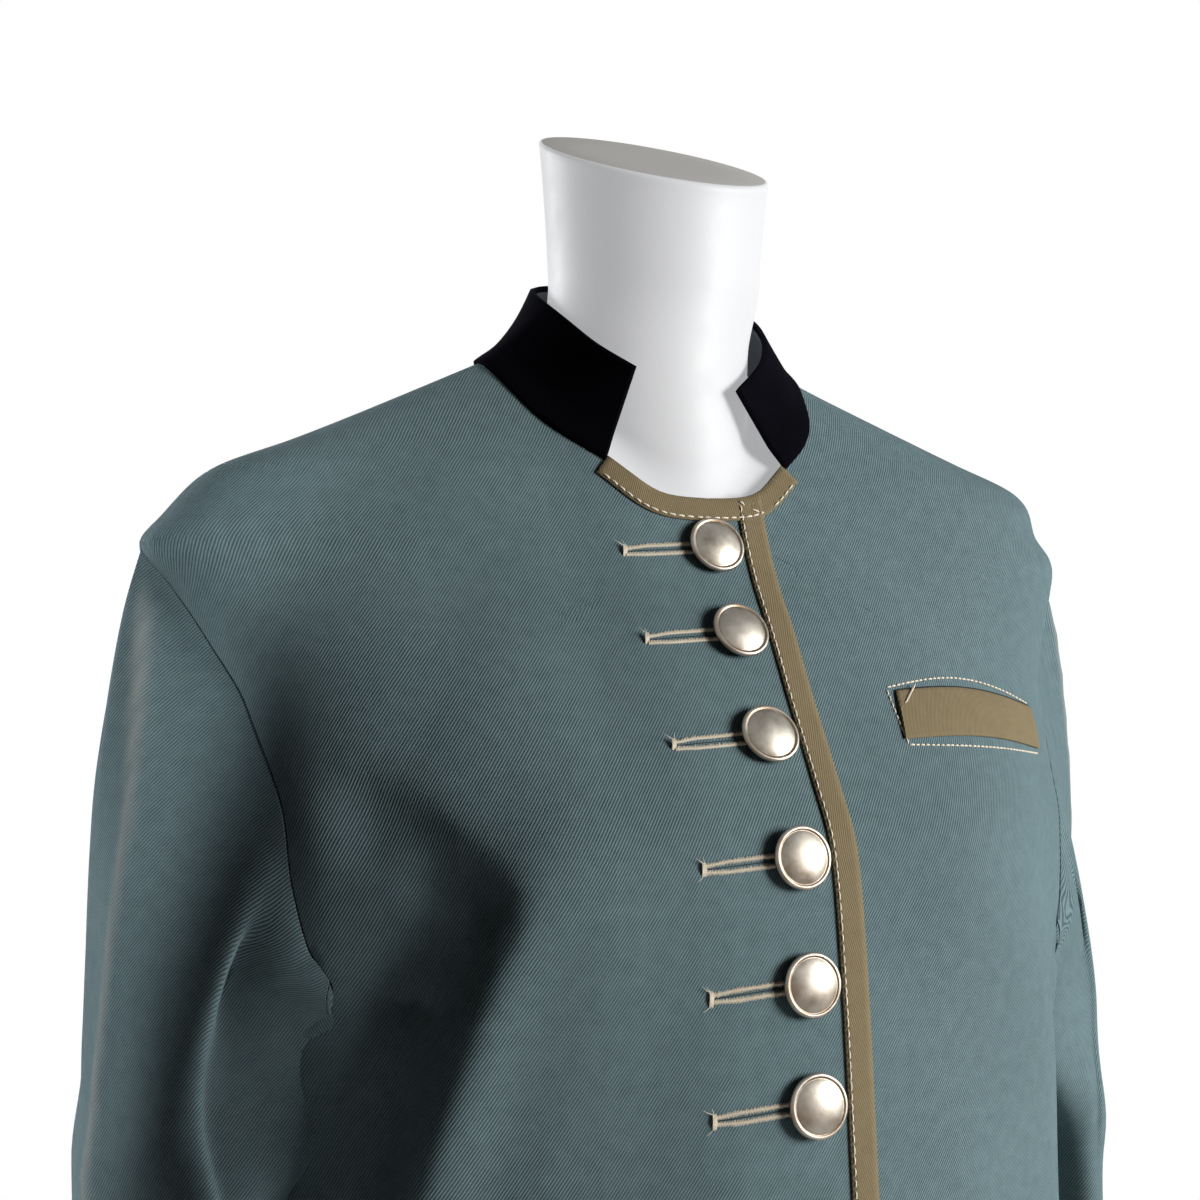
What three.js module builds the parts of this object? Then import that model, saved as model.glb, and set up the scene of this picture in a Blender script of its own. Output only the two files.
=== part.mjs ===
// A short military jacket of wool twill on a limbless dress form. Units are millimetres.
// +Z is up, the front faces -Y, and the wearer's left is +X. The origin is on the surface that the form stands on.
import * as THREE from "three";

// ---- Driving dimensions ----
const CLOTH = 1.6; // wall of the wool twill
const SEAM_GAP = 0.3; // between pieces that are sewn together
const LAP_GAP = 1.3; // between the two fronts where one lies over the other
const HEM_Z = 175;
const UNDERARM_Z = 481;
const SHOULDER_POINT_Z = 661;
const NECK_POINT_Z = 739;
const NECK_POINT_X = 73;
const SIDE_Y = 3; // the side seam and shoulder line lie this far behind the origin
const FRONT_SQUARENESS = 0.8; // below 1 the ring is fuller than an ellipse
const BACK_SQUARENESS = { low: 0.85, high: 1.15, from: 600, to: 690 }; // softer towards the shoulders

const OVERLAP_X = 25; // each front passes the centre line by this much
const EDGE_BAND_WIDTH = 12;
const NECK_BINDING_WIDTH = 10;
const TRIM_THICKNESS = 1.0; // bindings and welts
const COLLAR_HEIGHT = 38;
const COLLAR_THICKNESS = 2.6;
const COLLAR_END_X = 41;
const BUTTON_RADIUS = 12;
const BUTTON_SIDES = 12;

// Rings of the jacket's body: half is half the width, front and back are the reach from the origin's plane.
const BODY_RINGS = [
  { z: 175, half: 190, front: 146, back: 118 },
  { z: 250, half: 181, front: 140, back: 105 },
  { z: 330, half: 176, front: 136, back: 97 },
  { z: 390, half: 177, front: 134, back: 97 },
  { z: 457, half: 184, front: 129, back: 101 },
  { z: 507, half: 190, front: 124, back: 106 },
  { z: 545, half: 191, front: 118, back: 108 },
  { z: 570, half: 190, front: 105, back: 106 },
  { z: 600, half: 190.5, front: 87.5, back: 102 },
  { z: 626, half: 198, front: 73, back: 98 },
  { z: 646, half: 207, front: 60.5, back: 93.5 },
  { z: 661, half: 214, front: 53.5, back: 90 },
  { z: 672, half: 207, front: 49.5, back: 87 },
  { z: 684, half: 198, front: 45.5, back: 83 },
  { z: 691, half: 189, front: 42.5, back: 80 },
  { z: 704, half: 156, front: 36.5, back: 74 },
  { z: 720, half: 117, front: 27, back: 69 },
  { z: 739, half: 73, front: 12, back: 63 },
  { z: 747, half: 56, front: 8, back: 61 },
  { z: 760, half: 48, front: 6, back: 58 },
];

// Soft ridges (rise above 0) and troughs in the body. side -1 is the wearer's right. Each runs from (angle0, z0) to (angle1, z1).
const BODY_FOLDS = [
  { side: -1, angle0: 36, z0: 512, angle1: 64, z1: 300, width: 7, rise: 5 },
  { side: -1, angle0: 52, z0: 505, angle1: 80, z1: 330, width: 10, rise: -4.5 },
  { side: 1, angle0: 40, z0: 505, angle1: 62, z1: 280, width: 8, rise: 4 },
  { side: 1, angle0: 56, z0: 500, angle1: 78, z1: 320, width: 9, rise: -4 },
  { side: -1, angle0: 46, z0: 640, angle1: 56, z1: 545, width: 9, rise: -4 },
  { side: 1, angle0: 46, z0: 640, angle1: 56, z1: 545, width: 9, rise: -3 },
];
const BUST = { x: 84, z: 528, rise: 7, spreadX: 38, spreadZ: 46 };
// The wearer's right shoulder stands out square, and the left one is rounder.
const SHOULDER_RIGHT = { wider: 3, z: 663, spread: 14 };
const SHOULDER_LEFT = { wider: -5, z: 674, spread: 15 };

// The neckline's two halves and the armhole, as distances from the centre line and heights on the body.
const NECK_FRONT = [
  { x: 0, z: 680.5 },
  { x: 22, z: 683 },
  { x: COLLAR_END_X, z: 697 },
  { x: 61, z: 714 },
  { x: NECK_POINT_X, z: NECK_POINT_Z },
];
const NECK_BACK = [
  { x: NECK_POINT_X, z: NECK_POINT_Z },
  { x: 54, z: 744.5 },
  { x: 30, z: 747 },
  { x: 0, z: 748 },
];
// Ring angles run from 0 at the centre front over 90 at the side to 180 at the centre back.
const ARMHOLE_FRONT = [
  { angle: 90, z: UNDERARM_Z },
  { angle: 70, z: 483.5 },
  { angle: 61, z: 496 },
  { angle: 60.8, z: 516 },
  { angle: 62.5, z: 540 },
  { angle: 67.5, z: 567 },
  { angle: 76, z: 598 },
  { angle: 83, z: 632 },
  { angle: 90, z: SHOULDER_POINT_Z },
];
const ARMHOLE_BACK = [
  { angle: 90, z: UNDERARM_Z },
  { angle: 108, z: 485 },
  { angle: 114, z: 503 },
  { angle: 114, z: 535 },
  { angle: 112, z: 570 },
  { angle: 110, z: 605 },
  { angle: 104, z: 638 },
  { angle: 90, z: SHOULDER_POINT_Z },
];

const RAD = Math.PI / 180;
const { lerp, clamp, smoothstep } = THREE.MathUtils;

// ---- Curves through tables ----
// A smooth curve through a table's rows: value(key, t) with t from 0 to rows - 1.
function valueAt(rows, key, t) {
  const i = Math.min(Math.floor(clamp(t, 0, rows.length - 1)), rows.length - 2);
  const f = clamp(t, 0, rows.length - 1) - i;
  const at = (k) => rows[clamp(k, 0, rows.length - 1)][key];
  const [a, b, c, d] = [at(i - 1), at(i), at(i + 1), at(i + 2)];
  const m0 = (c - a) / 2;
  const m1 = (d - b) / 2;
  const f2 = f * f;
  const f3 = f2 * f;
  return (2 * f3 - 3 * f2 + 1) * b + (f3 - 2 * f2 + f) * m0 + (3 * f2 - 2 * f3) * c + (f3 - f2) * m1;
}

// A column of a table as a smooth function of the rows' z.
function columnOf(rows, key) {
  const slope = rows.map((row, i) => {
    if (i === 0 || i === rows.length - 1) return 0;
    const [p, n] = [rows[i - 1], rows[i + 1]];
    const before = (row[key] - p[key]) / (row.z - p.z);
    const after = (n[key] - row[key]) / (n.z - row.z);
    return before * after <= 0 ? 0 : (2 * before * after) / (before + after);
  });
  slope[0] = (rows[1][key] - rows[0][key]) / (rows[1].z - rows[0].z);
  return (z) => {
    const at = clamp(z, rows[0].z, rows[rows.length - 1].z);
    let i = rows.findIndex((row) => row.z > at) - 1;
    if (i < 0) i = rows.length - 2;
    const h = rows[i + 1].z - rows[i].z;
    const f = (at - rows[i].z) / h;
    const f2 = f * f;
    const f3 = f2 * f;
    return (
      (2 * f3 - 3 * f2 + 1) * rows[i][key] +
      (f3 - 2 * f2 + f) * h * slope[i] +
      (3 * f2 - 2 * f3) * rows[i + 1][key] +
      (f3 - f2) * h * slope[i + 1]
    );
  };
}

// ---- The body's surface ----
const half = columnOf(BODY_RINGS, "half");
const front = columnOf(BODY_RINGS, "front");
const back = columnOf(BODY_RINGS, "back");

const backSquareness = (z) =>
  lerp(BACK_SQUARENESS.low, BACK_SQUARENESS.high, smoothstep(z, BACK_SQUARENESS.from, BACK_SQUARENESS.to));

function foldRise(angle, z) {
  const side = Math.sign(angle) || 1;
  return BODY_FOLDS.filter((fold) => fold.side === side).reduce((sum, fold) => {
    const t = (fold.z0 - z) / (fold.z0 - fold.z1);
    const centre = lerp(fold.angle0, fold.angle1, clamp(t, -0.3, 1.5));
    const fade = smoothstep(t, -0.25, 0.2) * (1 - smoothstep(t, 0.85, 1.5));
    const off = (Math.abs(angle) - centre) / fold.width;
    return sum + fold.rise * fade * Math.exp(-off * off);
  }, 0);
}

// The cloth's middle surface. angle is in degrees, from -180 to 180, and positive on the wearer's left.
function bodyPoint(angle, z) {
  const a = Math.abs(angle) * RAD;
  const side = Math.sign(angle) || 1;
  const c = Math.cos(a);
  const reach = c >= 0 ? -(front(z) + SIDE_Y) : back(z) - SIDE_Y;
  const square = c >= 0 ? FRONT_SQUARENESS : backSquareness(z);
  const x = half(z) * Math.sin(a);
  let y = SIDE_Y + reach * Math.abs(c) ** square;
  if (c >= 0) {
    const [dx, dz] = [(x - BUST.x) / BUST.spreadX, (z - BUST.z) / BUST.spreadZ];
    y -= BUST.rise * Math.exp(-dx * dx - dz * dz);
  }
  const shoulder = side < 0 ? SHOULDER_RIGHT : SHOULDER_LEFT;
  const wider = shoulder.wider * Math.exp(-(((z - shoulder.z) / shoulder.spread) ** 2)) * (x / half(z)) ** 4;
  const rise = foldRise(angle, z);
  const out = new THREE.Vector2(Math.sin(a), -Math.sign(c) * Math.abs(c) ** 0.9).normalize();
  return new THREE.Vector3(side * (x + wider + out.x * rise), y + out.y * rise, z);
}

function bodyNormal(angle, z) {
  const step = 1.2;
  const across = bodyPoint(angle + step, z).sub(bodyPoint(angle - step, z));
  const up = bodyPoint(angle, z + 1).sub(bodyPoint(angle, z - 1));
  return across.cross(up).normalize();
}

const angleOfX = (x, z) => Math.asin(clamp(x / half(z), -1, 1)) / RAD;

// A point of a boundary curve, as {angle, z} with angle measured from the centre front.
const neckFrontAt = (t) => {
  const z = valueAt(NECK_FRONT, "z", t);
  return { angle: angleOfX(valueAt(NECK_FRONT, "x", t), z), z };
};
const neckBackAt = (t) => {
  const z = valueAt(NECK_BACK, "z", t);
  return { angle: 180 - angleOfX(valueAt(NECK_BACK, "x", t), z), z };
};
const armholeAt = (table, t) => ({ angle: valueAt(table, "angle", t), z: valueAt(table, "z", t) });

// ---- Grids and walls ----
// A grid is rows of {point, normal}. A wall is the closed solid around it; closed grids join their last column to the first.
function wall(grid, thickness, closed = false) {
  const rows = grid.length;
  const columns = grid[0].length;
  const positions = [];
  for (const side of [0.5, -0.5])
    for (const row of grid)
      for (const { point, normal } of row)
        positions.push(...point.clone().addScaledVector(normal, side * thickness).toArray());
  const outer = (r, c) => r * columns + (c % columns);
  const inner = (r, c) => rows * columns + outer(r, c);
  const index = [];
  const quad = (a, b, c, d) => index.push(a, b, c, a, c, d);
  const spans = closed ? columns : columns - 1;
  for (let r = 0; r < rows - 1; r++)
    for (let c = 0; c < spans; c++) {
      quad(outer(r, c), outer(r, c + 1), outer(r + 1, c + 1), outer(r + 1, c));
      quad(inner(r, c), inner(r + 1, c), inner(r + 1, c + 1), inner(r, c + 1));
    }
  for (let c = 0; c < spans; c++) {
    quad(inner(0, c), inner(0, c + 1), outer(0, c + 1), outer(0, c));
    quad(outer(rows - 1, c), outer(rows - 1, c + 1), inner(rows - 1, c + 1), inner(rows - 1, c));
  }
  if (!closed)
    for (let r = 0; r < rows - 1; r++) {
      quad(inner(r + 1, 0), inner(r, 0), outer(r, 0), outer(r + 1, 0));
      quad(outer(r + 1, columns - 1), outer(r, columns - 1), inner(r, columns - 1), inner(r + 1, columns - 1));
    }
  const geometry = new THREE.BufferGeometry();
  geometry.setAttribute("position", new THREE.Float32BufferAttribute(positions, 3));
  geometry.setIndex(index);
  return facingOut(geometry);
}

// Turns a closed geometry's faces round if they point inwards.
function facingOut(geometry) {
  const p = geometry.getAttribute("position");
  const index = geometry.index.array;
  const [a, b, c] = [new THREE.Vector3(), new THREE.Vector3(), new THREE.Vector3()];
  let volume = 0;
  for (let i = 0; i < index.length; i += 3) {
    a.fromBufferAttribute(p, index[i]);
    b.fromBufferAttribute(p, index[i + 1]);
    c.fromBufferAttribute(p, index[i + 2]);
    volume += a.dot(b.cross(c));
  }
  if (volume < 0) for (let i = 0; i < index.length; i += 3) [index[i + 1], index[i + 2]] = [index[i + 2], index[i + 1]];
  return geometry;
}

// The same grid moved along its normals.
const movedOut = (grid, distance) =>
  grid.map((row) =>
    row.map(({ point, normal }) => ({ point: point.clone().addScaledVector(normal, distance), normal })),
  );

const part = (grid, rowFrom, rowTo, columnFrom, columnTo) =>
  grid.slice(rowFrom, rowTo + 1).map((row) => row.slice(columnFrom, columnTo + 1));

// Points at even distances along a path of many points.
function resample(path, count) {
  const lengths = [0];
  for (let i = 1; i < path.length; i++) lengths.push(lengths[i - 1] + path[i].point.distanceTo(path[i - 1].point));
  const total = lengths[lengths.length - 1];
  return Array.from({ length: count + 1 }, (_, k) => {
    const want = (total * k) / count;
    let i = lengths.findIndex((l) => l >= want - 1e-9);
    if (i < 1) i = 1;
    const f = clamp((want - lengths[i - 1]) / (lengths[i] - lengths[i - 1] || 1), 0, 1);
    return { angle: lerp(path[i - 1].angle, path[i].angle, f), z: lerp(path[i - 1].z, path[i].z, f) };
  });
}

// ---- Fronts ----
const FRONT_ROWS = { low: 10, mid: 8, corner: 3, binding: 2, neck: 6 };
const FRONT_COLUMNS = 15;
const CORNER_T = 1.14; // where the neckline table reaches the overlap's width, past its own mirror image

// Signed place on the front neckline: negative t is the far side of the centre line.
function neckSigned(t) {
  const { angle, z } = neckFrontAt(Math.abs(t));
  return { angle: Math.sign(t) * angle, z };
}

// The front's two boundaries, as rows of matching places from the hem to the shoulder seam.
function frontBoundaries(rows) {
  const corner = neckSigned(-CORNER_T);
  const list = [];
  const armholeCorner = 4.6; // armhole table place that faces the front's top corner
  const add = (count, at) => {
    for (let i = 0; i < count; i++) list.push(at(i / count));
  };
  const edge = (z) => ({ angle: -angleOfX(OVERLAP_X, z), z });
  const side = (z) => ({ angle: 90, z });
  const split = 500;
  add(rows.low, (f) => ({ inner: edge(lerp(HEM_Z, split, f)), outer: side(lerp(HEM_Z, UNDERARM_Z, f)) }));
  add(rows.mid, (f) => ({
    inner: edge(lerp(split, corner.z, f)),
    outer: armholeAt(ARMHOLE_FRONT, lerp(0, armholeCorner, f)),
  }));
  const neckStops = [-CORNER_T, CORNER_T, 2, NECK_FRONT.length - 1];
  const armStops = [armholeCorner, 6, 6.5, ARMHOLE_FRONT.length - 1];
  [rows.corner, rows.binding, rows.neck].forEach((count, k) =>
    add(count, (share) => {
      const f = k === 2 ? 1 - (1 - share) ** 1.6 : share; // closer rows towards the shoulder seam
      return {
        inner: neckSigned(lerp(neckStops[k], neckStops[k + 1], f)),
        outer: armholeAt(ARMHOLE_FRONT, lerp(armStops[k], armStops[k + 1], f)),
      };
    }),
  );
  list.push({ inner: neckSigned(NECK_FRONT.length - 1), outer: { angle: 90, z: SHOULDER_POINT_Z } });
  return list;
}

// Steps a distance over the body's surface from a place, in a direction in space.
function stepOnBody(place, direction, distance) {
  const parts = 4;
  let { angle, z } = place;
  for (let i = 0; i < parts; i++) {
    const p = bodyPoint(angle, z);
    const dAngle = bodyPoint(angle + 0.2, z).sub(p).divideScalar(0.2);
    const dZ = bodyPoint(angle, z + 0.5).sub(p).divideScalar(0.5);
    const [aa, ab, bb] = [dAngle.dot(dAngle), dAngle.dot(dZ), dZ.dot(dZ)];
    const [ra, rb] = [dAngle.dot(direction), dZ.dot(direction)];
    const det = aa * bb - ab * ab;
    const [u, v] = [(ra * bb - rb * ab) / det, (rb * aa - ra * ab) / det];
    const length = dAngle.multiplyScalar(u).addScaledVector(dZ, v).length();
    angle += ((u / length) * distance) / parts;
    z += ((v / length) * distance) / parts;
  }
  return { angle, z };
}

// The front as a grid. side is 1 for the wearer's left. Column 1 lies one band's width inside the front edge and neckline.
function frontGrid(side, rows = FRONT_ROWS, columns = FRONT_COLUMNS) {
  const boundaries = frontBoundaries(rows);
  const cornerRow = rows.low + rows.mid;
  const bandEnd = cornerRow + rows.corner + rows.binding;
  const at = ({ angle, z }) => bodyPoint(angle, z);
  return boundaries.map(({ inner, outer }, r) => {
    const before = boundaries[Math.max(r - 1, 0)].inner;
    const after = boundaries[Math.min(r + 1, boundaries.length - 1)].inner;
    const normal = bodyNormal(inner.angle, inner.z);
    const inwards = (from, to) => normal.clone().cross(at(to).sub(at(from))).normalize().negate();
    const towards = at(outer).sub(at(inner)).normalize();
    let direction = towards;
    let width = r > cornerRow ? NECK_BINDING_WIDTH : EDGE_BAND_WIDTH;
    if (r === cornerRow) {
      const [d0, d1] = [inwards(before, inner), inwards(inner, after)];
      direction = d0.multiplyScalar(EDGE_BAND_WIDTH).addScaledVector(d1, NECK_BINDING_WIDTH);
      width = direction.length();
      direction.normalize();
    } else if (r <= bandEnd) direction = inwards(before, after);
    if (direction.dot(towards) < 0) direction.negate();
    const band = stepOnBody(inner, direction, width);
    const dense = 40;
    const path = Array.from({ length: dense + 1 }, (_, k) => {
      const place = { angle: lerp(band.angle, outer.angle, k / dense), z: lerp(band.z, outer.z, k / dense) };
      return { ...place, point: at(place) };
    });
    return [inner, ...resample(path, columns)].map(({ angle, z }) => {
      const n = bodyNormal(side * angle, z);
      return { angle: side * angle, z, normal: n, point: bodyPoint(side * angle, z) };
    });
  });
}

// Draws the panel's edges in by half a seam gap where it meets a neighbour at the side and shoulder.
function trimmedFront(grid, side) {
  const last = grid.length - 1;
  grid.forEach((row, r) => {
    const edge = row[row.length - 1];
    if (Math.abs(edge.angle) > 89.9) edge.point.y -= SEAM_GAP / 2;
    if (r === last) row.slice(0, -1).forEach((v) => (v.point.y -= SEAM_GAP / 2));
  });
  return grid;
}

// The wearer's right front lies over the left one, so it is lifted near the centre line.
const liftAt = (x) => (CLOTH + LAP_GAP) * (1 - smoothstep(-x, OVERLAP_X + 3, 70));
const lifted = (grid) =>
  grid.map((row) => row.map((v) => ({ ...v, point: v.point.clone().addScaledVector(v.normal, liftAt(v.point.x)) })));

const frontLeftGrid = trimmedFront(frontGrid(1), 1);
const frontRightGrid = lifted(trimmedFront(frontGrid(-1), -1));

// ---- Back ----
const BACK_ROWS = { low: 10, mid: 8, top: 8 };
const BACK_COLUMNS = 12; // on each side of the centre
const SHOULDER_STEPS = [SHOULDER_POINT_Z, 670, 680, 687, 693, 700, 710, 724, NECK_POINT_Z];

// One half of the back, from the centre line outwards.
function backHalf(side) {
  const outers = [];
  const inners = [];
  const neckTop = NECK_BACK[NECK_BACK.length - 1].z;
  const add = (count, outer, from, to) => {
    for (let i = 0; i < count; i++) {
      outers.push(outer(i / count));
      inners.push({ angle: 180, z: lerp(from, to, i / count) });
    }
  };
  add(BACK_ROWS.low, (f) => ({ angle: 90, z: lerp(HEM_Z, UNDERARM_Z, f) }), HEM_Z, 500);
  add(BACK_ROWS.mid, (f) => armholeAt(ARMHOLE_BACK, f * (ARMHOLE_BACK.length - 1)), 500, 695);
  add(BACK_ROWS.top, (f) => ({ angle: 90, z: SHOULDER_STEPS[Math.round(f * BACK_ROWS.top)] }), 695, neckTop);
  outers.push({ angle: 90, z: NECK_POINT_Z });
  inners.push({ angle: 180, z: neckTop });
  const topFrom = BACK_ROWS.low + BACK_ROWS.mid;
  return outers.map((outer, r) =>
    Array.from({ length: BACK_COLUMNS + 1 }, (_, k) => {
      const f = k / BACK_COLUMNS;
      const straight = { angle: lerp(180, outer.angle, f), z: lerp(inners[r].z, outer.z, f) };
      const neck = neckBackAt((NECK_BACK.length - 1) * (1 - f));
      const w = smoothstep(r, topFrom - 3, BACK_ROWS.low + BACK_ROWS.mid + BACK_ROWS.top);
      const rowStraight = lerp(neckTop, NECK_POINT_Z, f);
      const angle = straight.angle + w * (neck.angle - lerp(180, 90, f));
      const z = straight.z + w * (neck.z - rowStraight);
      const normal = bodyNormal(side * angle, z);
      const point = bodyPoint(side * angle, z);
      if (k === BACK_COLUMNS && angle < 90.1) point.y += SEAM_GAP / 2;
      if (k === 0) point.x += (side * SEAM_GAP) / 2;
      return { angle: side * angle, z, normal, point };
    }),
  );
}

const backLeftGrid = backHalf(1).map((row) => row.slice().reverse());
const backRightGrid = backHalf(-1);

// ---- Sleeves ----
// Rings of a sleeve below the underarm. out is the centre's distance from the centre line, and lean
// is how much nearer to the body the front fold lies than the centre.
const SLEEVE_RINGS = [
  { z: 88, out: 218.5, forward: 19, thick: 20.5, deep: 56, lean: 2 },
  { z: 175, out: 218, forward: 10, thick: 21, deep: 59, lean: 4 },
  { z: 250, out: 210, forward: 2, thick: 21.5, deep: 62, lean: 9 },
  { z: 350, out: 206.5, forward: -8, thick: 22, deep: 66, lean: 13 },
  { z: 415, out: 208, forward: -13, thick: 22, deep: 66, lean: 12 },
  { z: 455, out: 209, forward: -16, thick: 20, deep: 60, lean: 7 },
];
const SLEEVE_TOP_Z = 455;
const CUFF_Z = 88;
const SLEEVE_RIDGE = { at: -6, width: 15, rise: 4.5 }; // the pressed crease down the outside
// Soft cross folds round the sleeve. at and spread are ring angles from the outside over the front.
const SLEEVE_FOLDS = [
  { at: 40, spread: 55, z: 395, slope: 26, width: 16, rise: 3 },
  { at: 60, spread: 60, z: 335, slope: -22, width: 15, rise: -3 },
  { at: 300, spread: 60, z: 290, slope: 24, width: 18, rise: -3 },
  { at: 90, spread: 50, z: 255, slope: 18, width: 14, rise: 2.5 },
];
const FRONT_SEAM = 0.32; // place round the sleeve, from the outside over the front
const BACK_SEAM = 0.7;
const SLEEVE_START = 1.35; // from the armhole's line to the sleeve's edge
const SLEEVE_DROP_ROWS = 9;
const SLEEVE_LENGTH_ROWS = 9;

const sleeveColumns = Object.fromEntries(["out", "forward", "thick", "deep", "lean"].map((k) => [k, columnOf(SLEEVE_RINGS, k)]));

// A point of the sleeve's ring. u runs from 0 at the outside over the front, the inside and the back to 1.
function sleeveRing(u, z) {
  const degrees = 360 * u;
  const a = degrees * RAD;
  const at = (key) => sleeveColumns[key](z);
  let off = ((degrees - SLEEVE_RIDGE.at + 540) % 360) - 180;
  let rise = SLEEVE_RIDGE.rise * Math.exp(-((off / SLEEVE_RIDGE.width) ** 2));
  for (const fold of SLEEVE_FOLDS) {
    off = ((degrees - fold.at + 540) % 360) - 180;
    const line = (z - fold.z - (fold.slope * off) / fold.spread) / fold.width;
    rise += fold.rise * Math.exp(-((off / fold.spread) ** 2) - line * line);
  }
  const x = at("out") + (at("thick") + rise) * Math.cos(a) - at("lean") * Math.sin(a);
  return new THREE.Vector3(x, -at("forward") - (at("deep") + rise) * Math.sin(a), z);
}

// The armhole's place that a sleeve line starts from, with the body's normal and the way into the hole.
function armholeStart(turn) {
  const placeAt = (t) => {
    const w = ((t % 1) + 1) % 1;
    return w < 0.5
      ? armholeAt(ARMHOLE_FRONT, (ARMHOLE_FRONT.length - 1) * (1 - 2 * w))
      : armholeAt(ARMHOLE_BACK, (ARMHOLE_BACK.length - 1) * (2 * w - 1));
  };
  const [before, place, after] = [placeAt(turn - 0.01), placeAt(turn), placeAt(turn + 0.01)];
  const start = bodyPoint(place.angle, place.z);
  const normal = bodyNormal(place.angle, place.z);
  const along = bodyPoint(after.angle, after.z).sub(bodyPoint(before.angle, before.z));
  const inwards = along.cross(normal).normalize();
  const toHole = new THREE.Vector3(start.x, SIDE_Y, (UNDERARM_Z + SHOULDER_POINT_Z) / 2).sub(start);
  if (inwards.dot(toHole) < 0) inwards.negate();
  return { start, normal, inwards };
}

function sleevePoint(side, u, v) {
  const point = new THREE.Vector3();
  const turn = ((u % 1) + 1) % 1;
  if (v >= 1) point.copy(sleeveRing(turn, lerp(SLEEVE_TOP_Z, CUFF_Z, v - 1)));
  else {
    const { start, normal, inwards } = armholeStart(turn);
    const end = sleeveRing(turn, SLEEVE_TOP_Z);
    const a = turn * 360 * RAD;
    const under = (1 - Math.cos(a)) / 2;
    const across = Math.abs(Math.sin(a));
    const leave = new THREE.Vector3(
      0.3 + 0.55 * across + 0.7 * under,
      -0.12 * Math.sin(a),
      -0.95 + 0.5 * across + 0.6 * under,
    ).normalize();
    const behind = Math.max(-Math.sin(a), 0);
    const clear = SLEEVE_START + 1.5 * under * under + 0.8 * behind;
    start.addScaledVector(inwards, clear + (CLOTH / 2) * clamp(leave.dot(normal), 0, 1));
    const length = start.distanceTo(end);
    const arrive = sleeveRing(turn, SLEEVE_TOP_Z - 3).sub(end).normalize();
    const v2 = v * v;
    const v3 = v2 * v;
    point.addScaledVector(start, 2 * v3 - 3 * v2 + 1);
    point.addScaledVector(leave, (v3 - 2 * v2 + v) * length * (0.5 + 0.3 * across + 1.1 * under ** 4));
    point.addScaledVector(end, 3 * v2 - 2 * v3);
    point.addScaledVector(arrive, (v3 - v2) * length * 0.9);
  }
  point.x *= side;
  return point;
}

function sleeveGrid(side, from, to, columns) {
  const places = [];
  for (let i = 0; i < SLEEVE_DROP_ROWS; i++) places.push(i / SLEEVE_DROP_ROWS);
  for (let i = 0; i <= SLEEVE_LENGTH_ROWS; i++) places.push(1 + i / SLEEVE_LENGTH_ROWS);
  const gap = SEAM_GAP / 300;
  return places.map((v) =>
    Array.from({ length: columns + 1 }, (_, k) => {
      const u = lerp(from + gap, to - gap, k / columns);
      const step = 0.004;
      const [v0, v1] = [Math.max(v - 0.03, 0), Math.min(v + 0.03, 2)];
      const round = sleevePoint(side, u + step, v).sub(sleevePoint(side, u - step, v));
      const down = sleevePoint(side, u, v1).sub(sleevePoint(side, u, v0));
      const normal = round.cross(down).multiplyScalar(-side).normalize();
      return { point: sleevePoint(side, u, v), normal };
    }),
  );
}

// ---- Collar ----
const COLLAR_BASE_GAP = 1.5;
const COLLAR_START_T = 2.03; // place in the neckline's front table
const COLLAR_COLUMNS = 13; // on each side
const COLLAR_ROWS = 4;
// The top edge of one side, from the front end to the centre back.
const COLLAR_TOP = [
  { x: 23, y: -46, z: 731 },
  { x: 38.5, y: -32, z: 744 },
  { x: 47.5, y: -10, z: 760 },
  { x: 48.5, y: 13, z: 772 },
  { x: 39.5, y: 33, z: 779 },
  { x: 21, y: 45.5, z: 783 },
  { x: 0, y: 49, z: 784 },
];
const COLLAR_END_SHIFT = -6; // both top ends lie this much towards the wearer's right

function collarPoint(side, t, height) {
  const frontSpan = NECK_FRONT.length - 1 - COLLAR_START_T;
  const span = frontSpan + NECK_BACK.length - 1;
  const along = t * span;
  const place = along <= frontSpan ? neckFrontAt(COLLAR_START_T + along) : neckBackAt(along - frontSpan);
  const normal = bodyNormal(side * place.angle, place.z);
  const base = bodyPoint(side * place.angle, place.z);
  if (side < 0) base.addScaledVector(normal, liftAt(base.x));
  const rows = COLLAR_TOP.length - 1;
  const top = new THREE.Vector3(
    side * valueAt(COLLAR_TOP, "x", t * rows) + COLLAR_END_SHIFT * (1 - smoothstep(t, 0, 0.3)),
    valueAt(COLLAR_TOP, "y", t * rows),
    valueAt(COLLAR_TOP, "z", t * rows),
  );
  const up = top.clone().sub(base);
  const reach = up.length();
  return base.addScaledVector(up.normalize(), lerp(COLLAR_BASE_GAP, reach, height));
}

function collarGrid() {
  const places = [];
  for (let i = 0; i <= COLLAR_COLUMNS; i++) places.push([-1, i / COLLAR_COLUMNS]);
  for (let i = COLLAR_COLUMNS - 1; i >= 0; i--) places.push([1, i / COLLAR_COLUMNS]);
  return Array.from({ length: COLLAR_ROWS + 1 }, (_, r) =>
    places.map(([side, t]) => {
      const height = r / COLLAR_ROWS;
      const step = 0.01;
      const [t0, t1] = [Math.max(t - step, 0), Math.min(t + step, 1)];
      const round = collarPoint(side, t1, height).sub(collarPoint(side, t0, height));
      if (t === 1) round.set(-1, 0, 0).multiplyScalar(side);
      const up = collarPoint(side, t, 1).sub(collarPoint(side, t, 0));
      const normal = round.cross(up).multiplyScalar(side).normalize();
      return { point: collarPoint(side, t, height), normal };
    }),
  );
}

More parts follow.
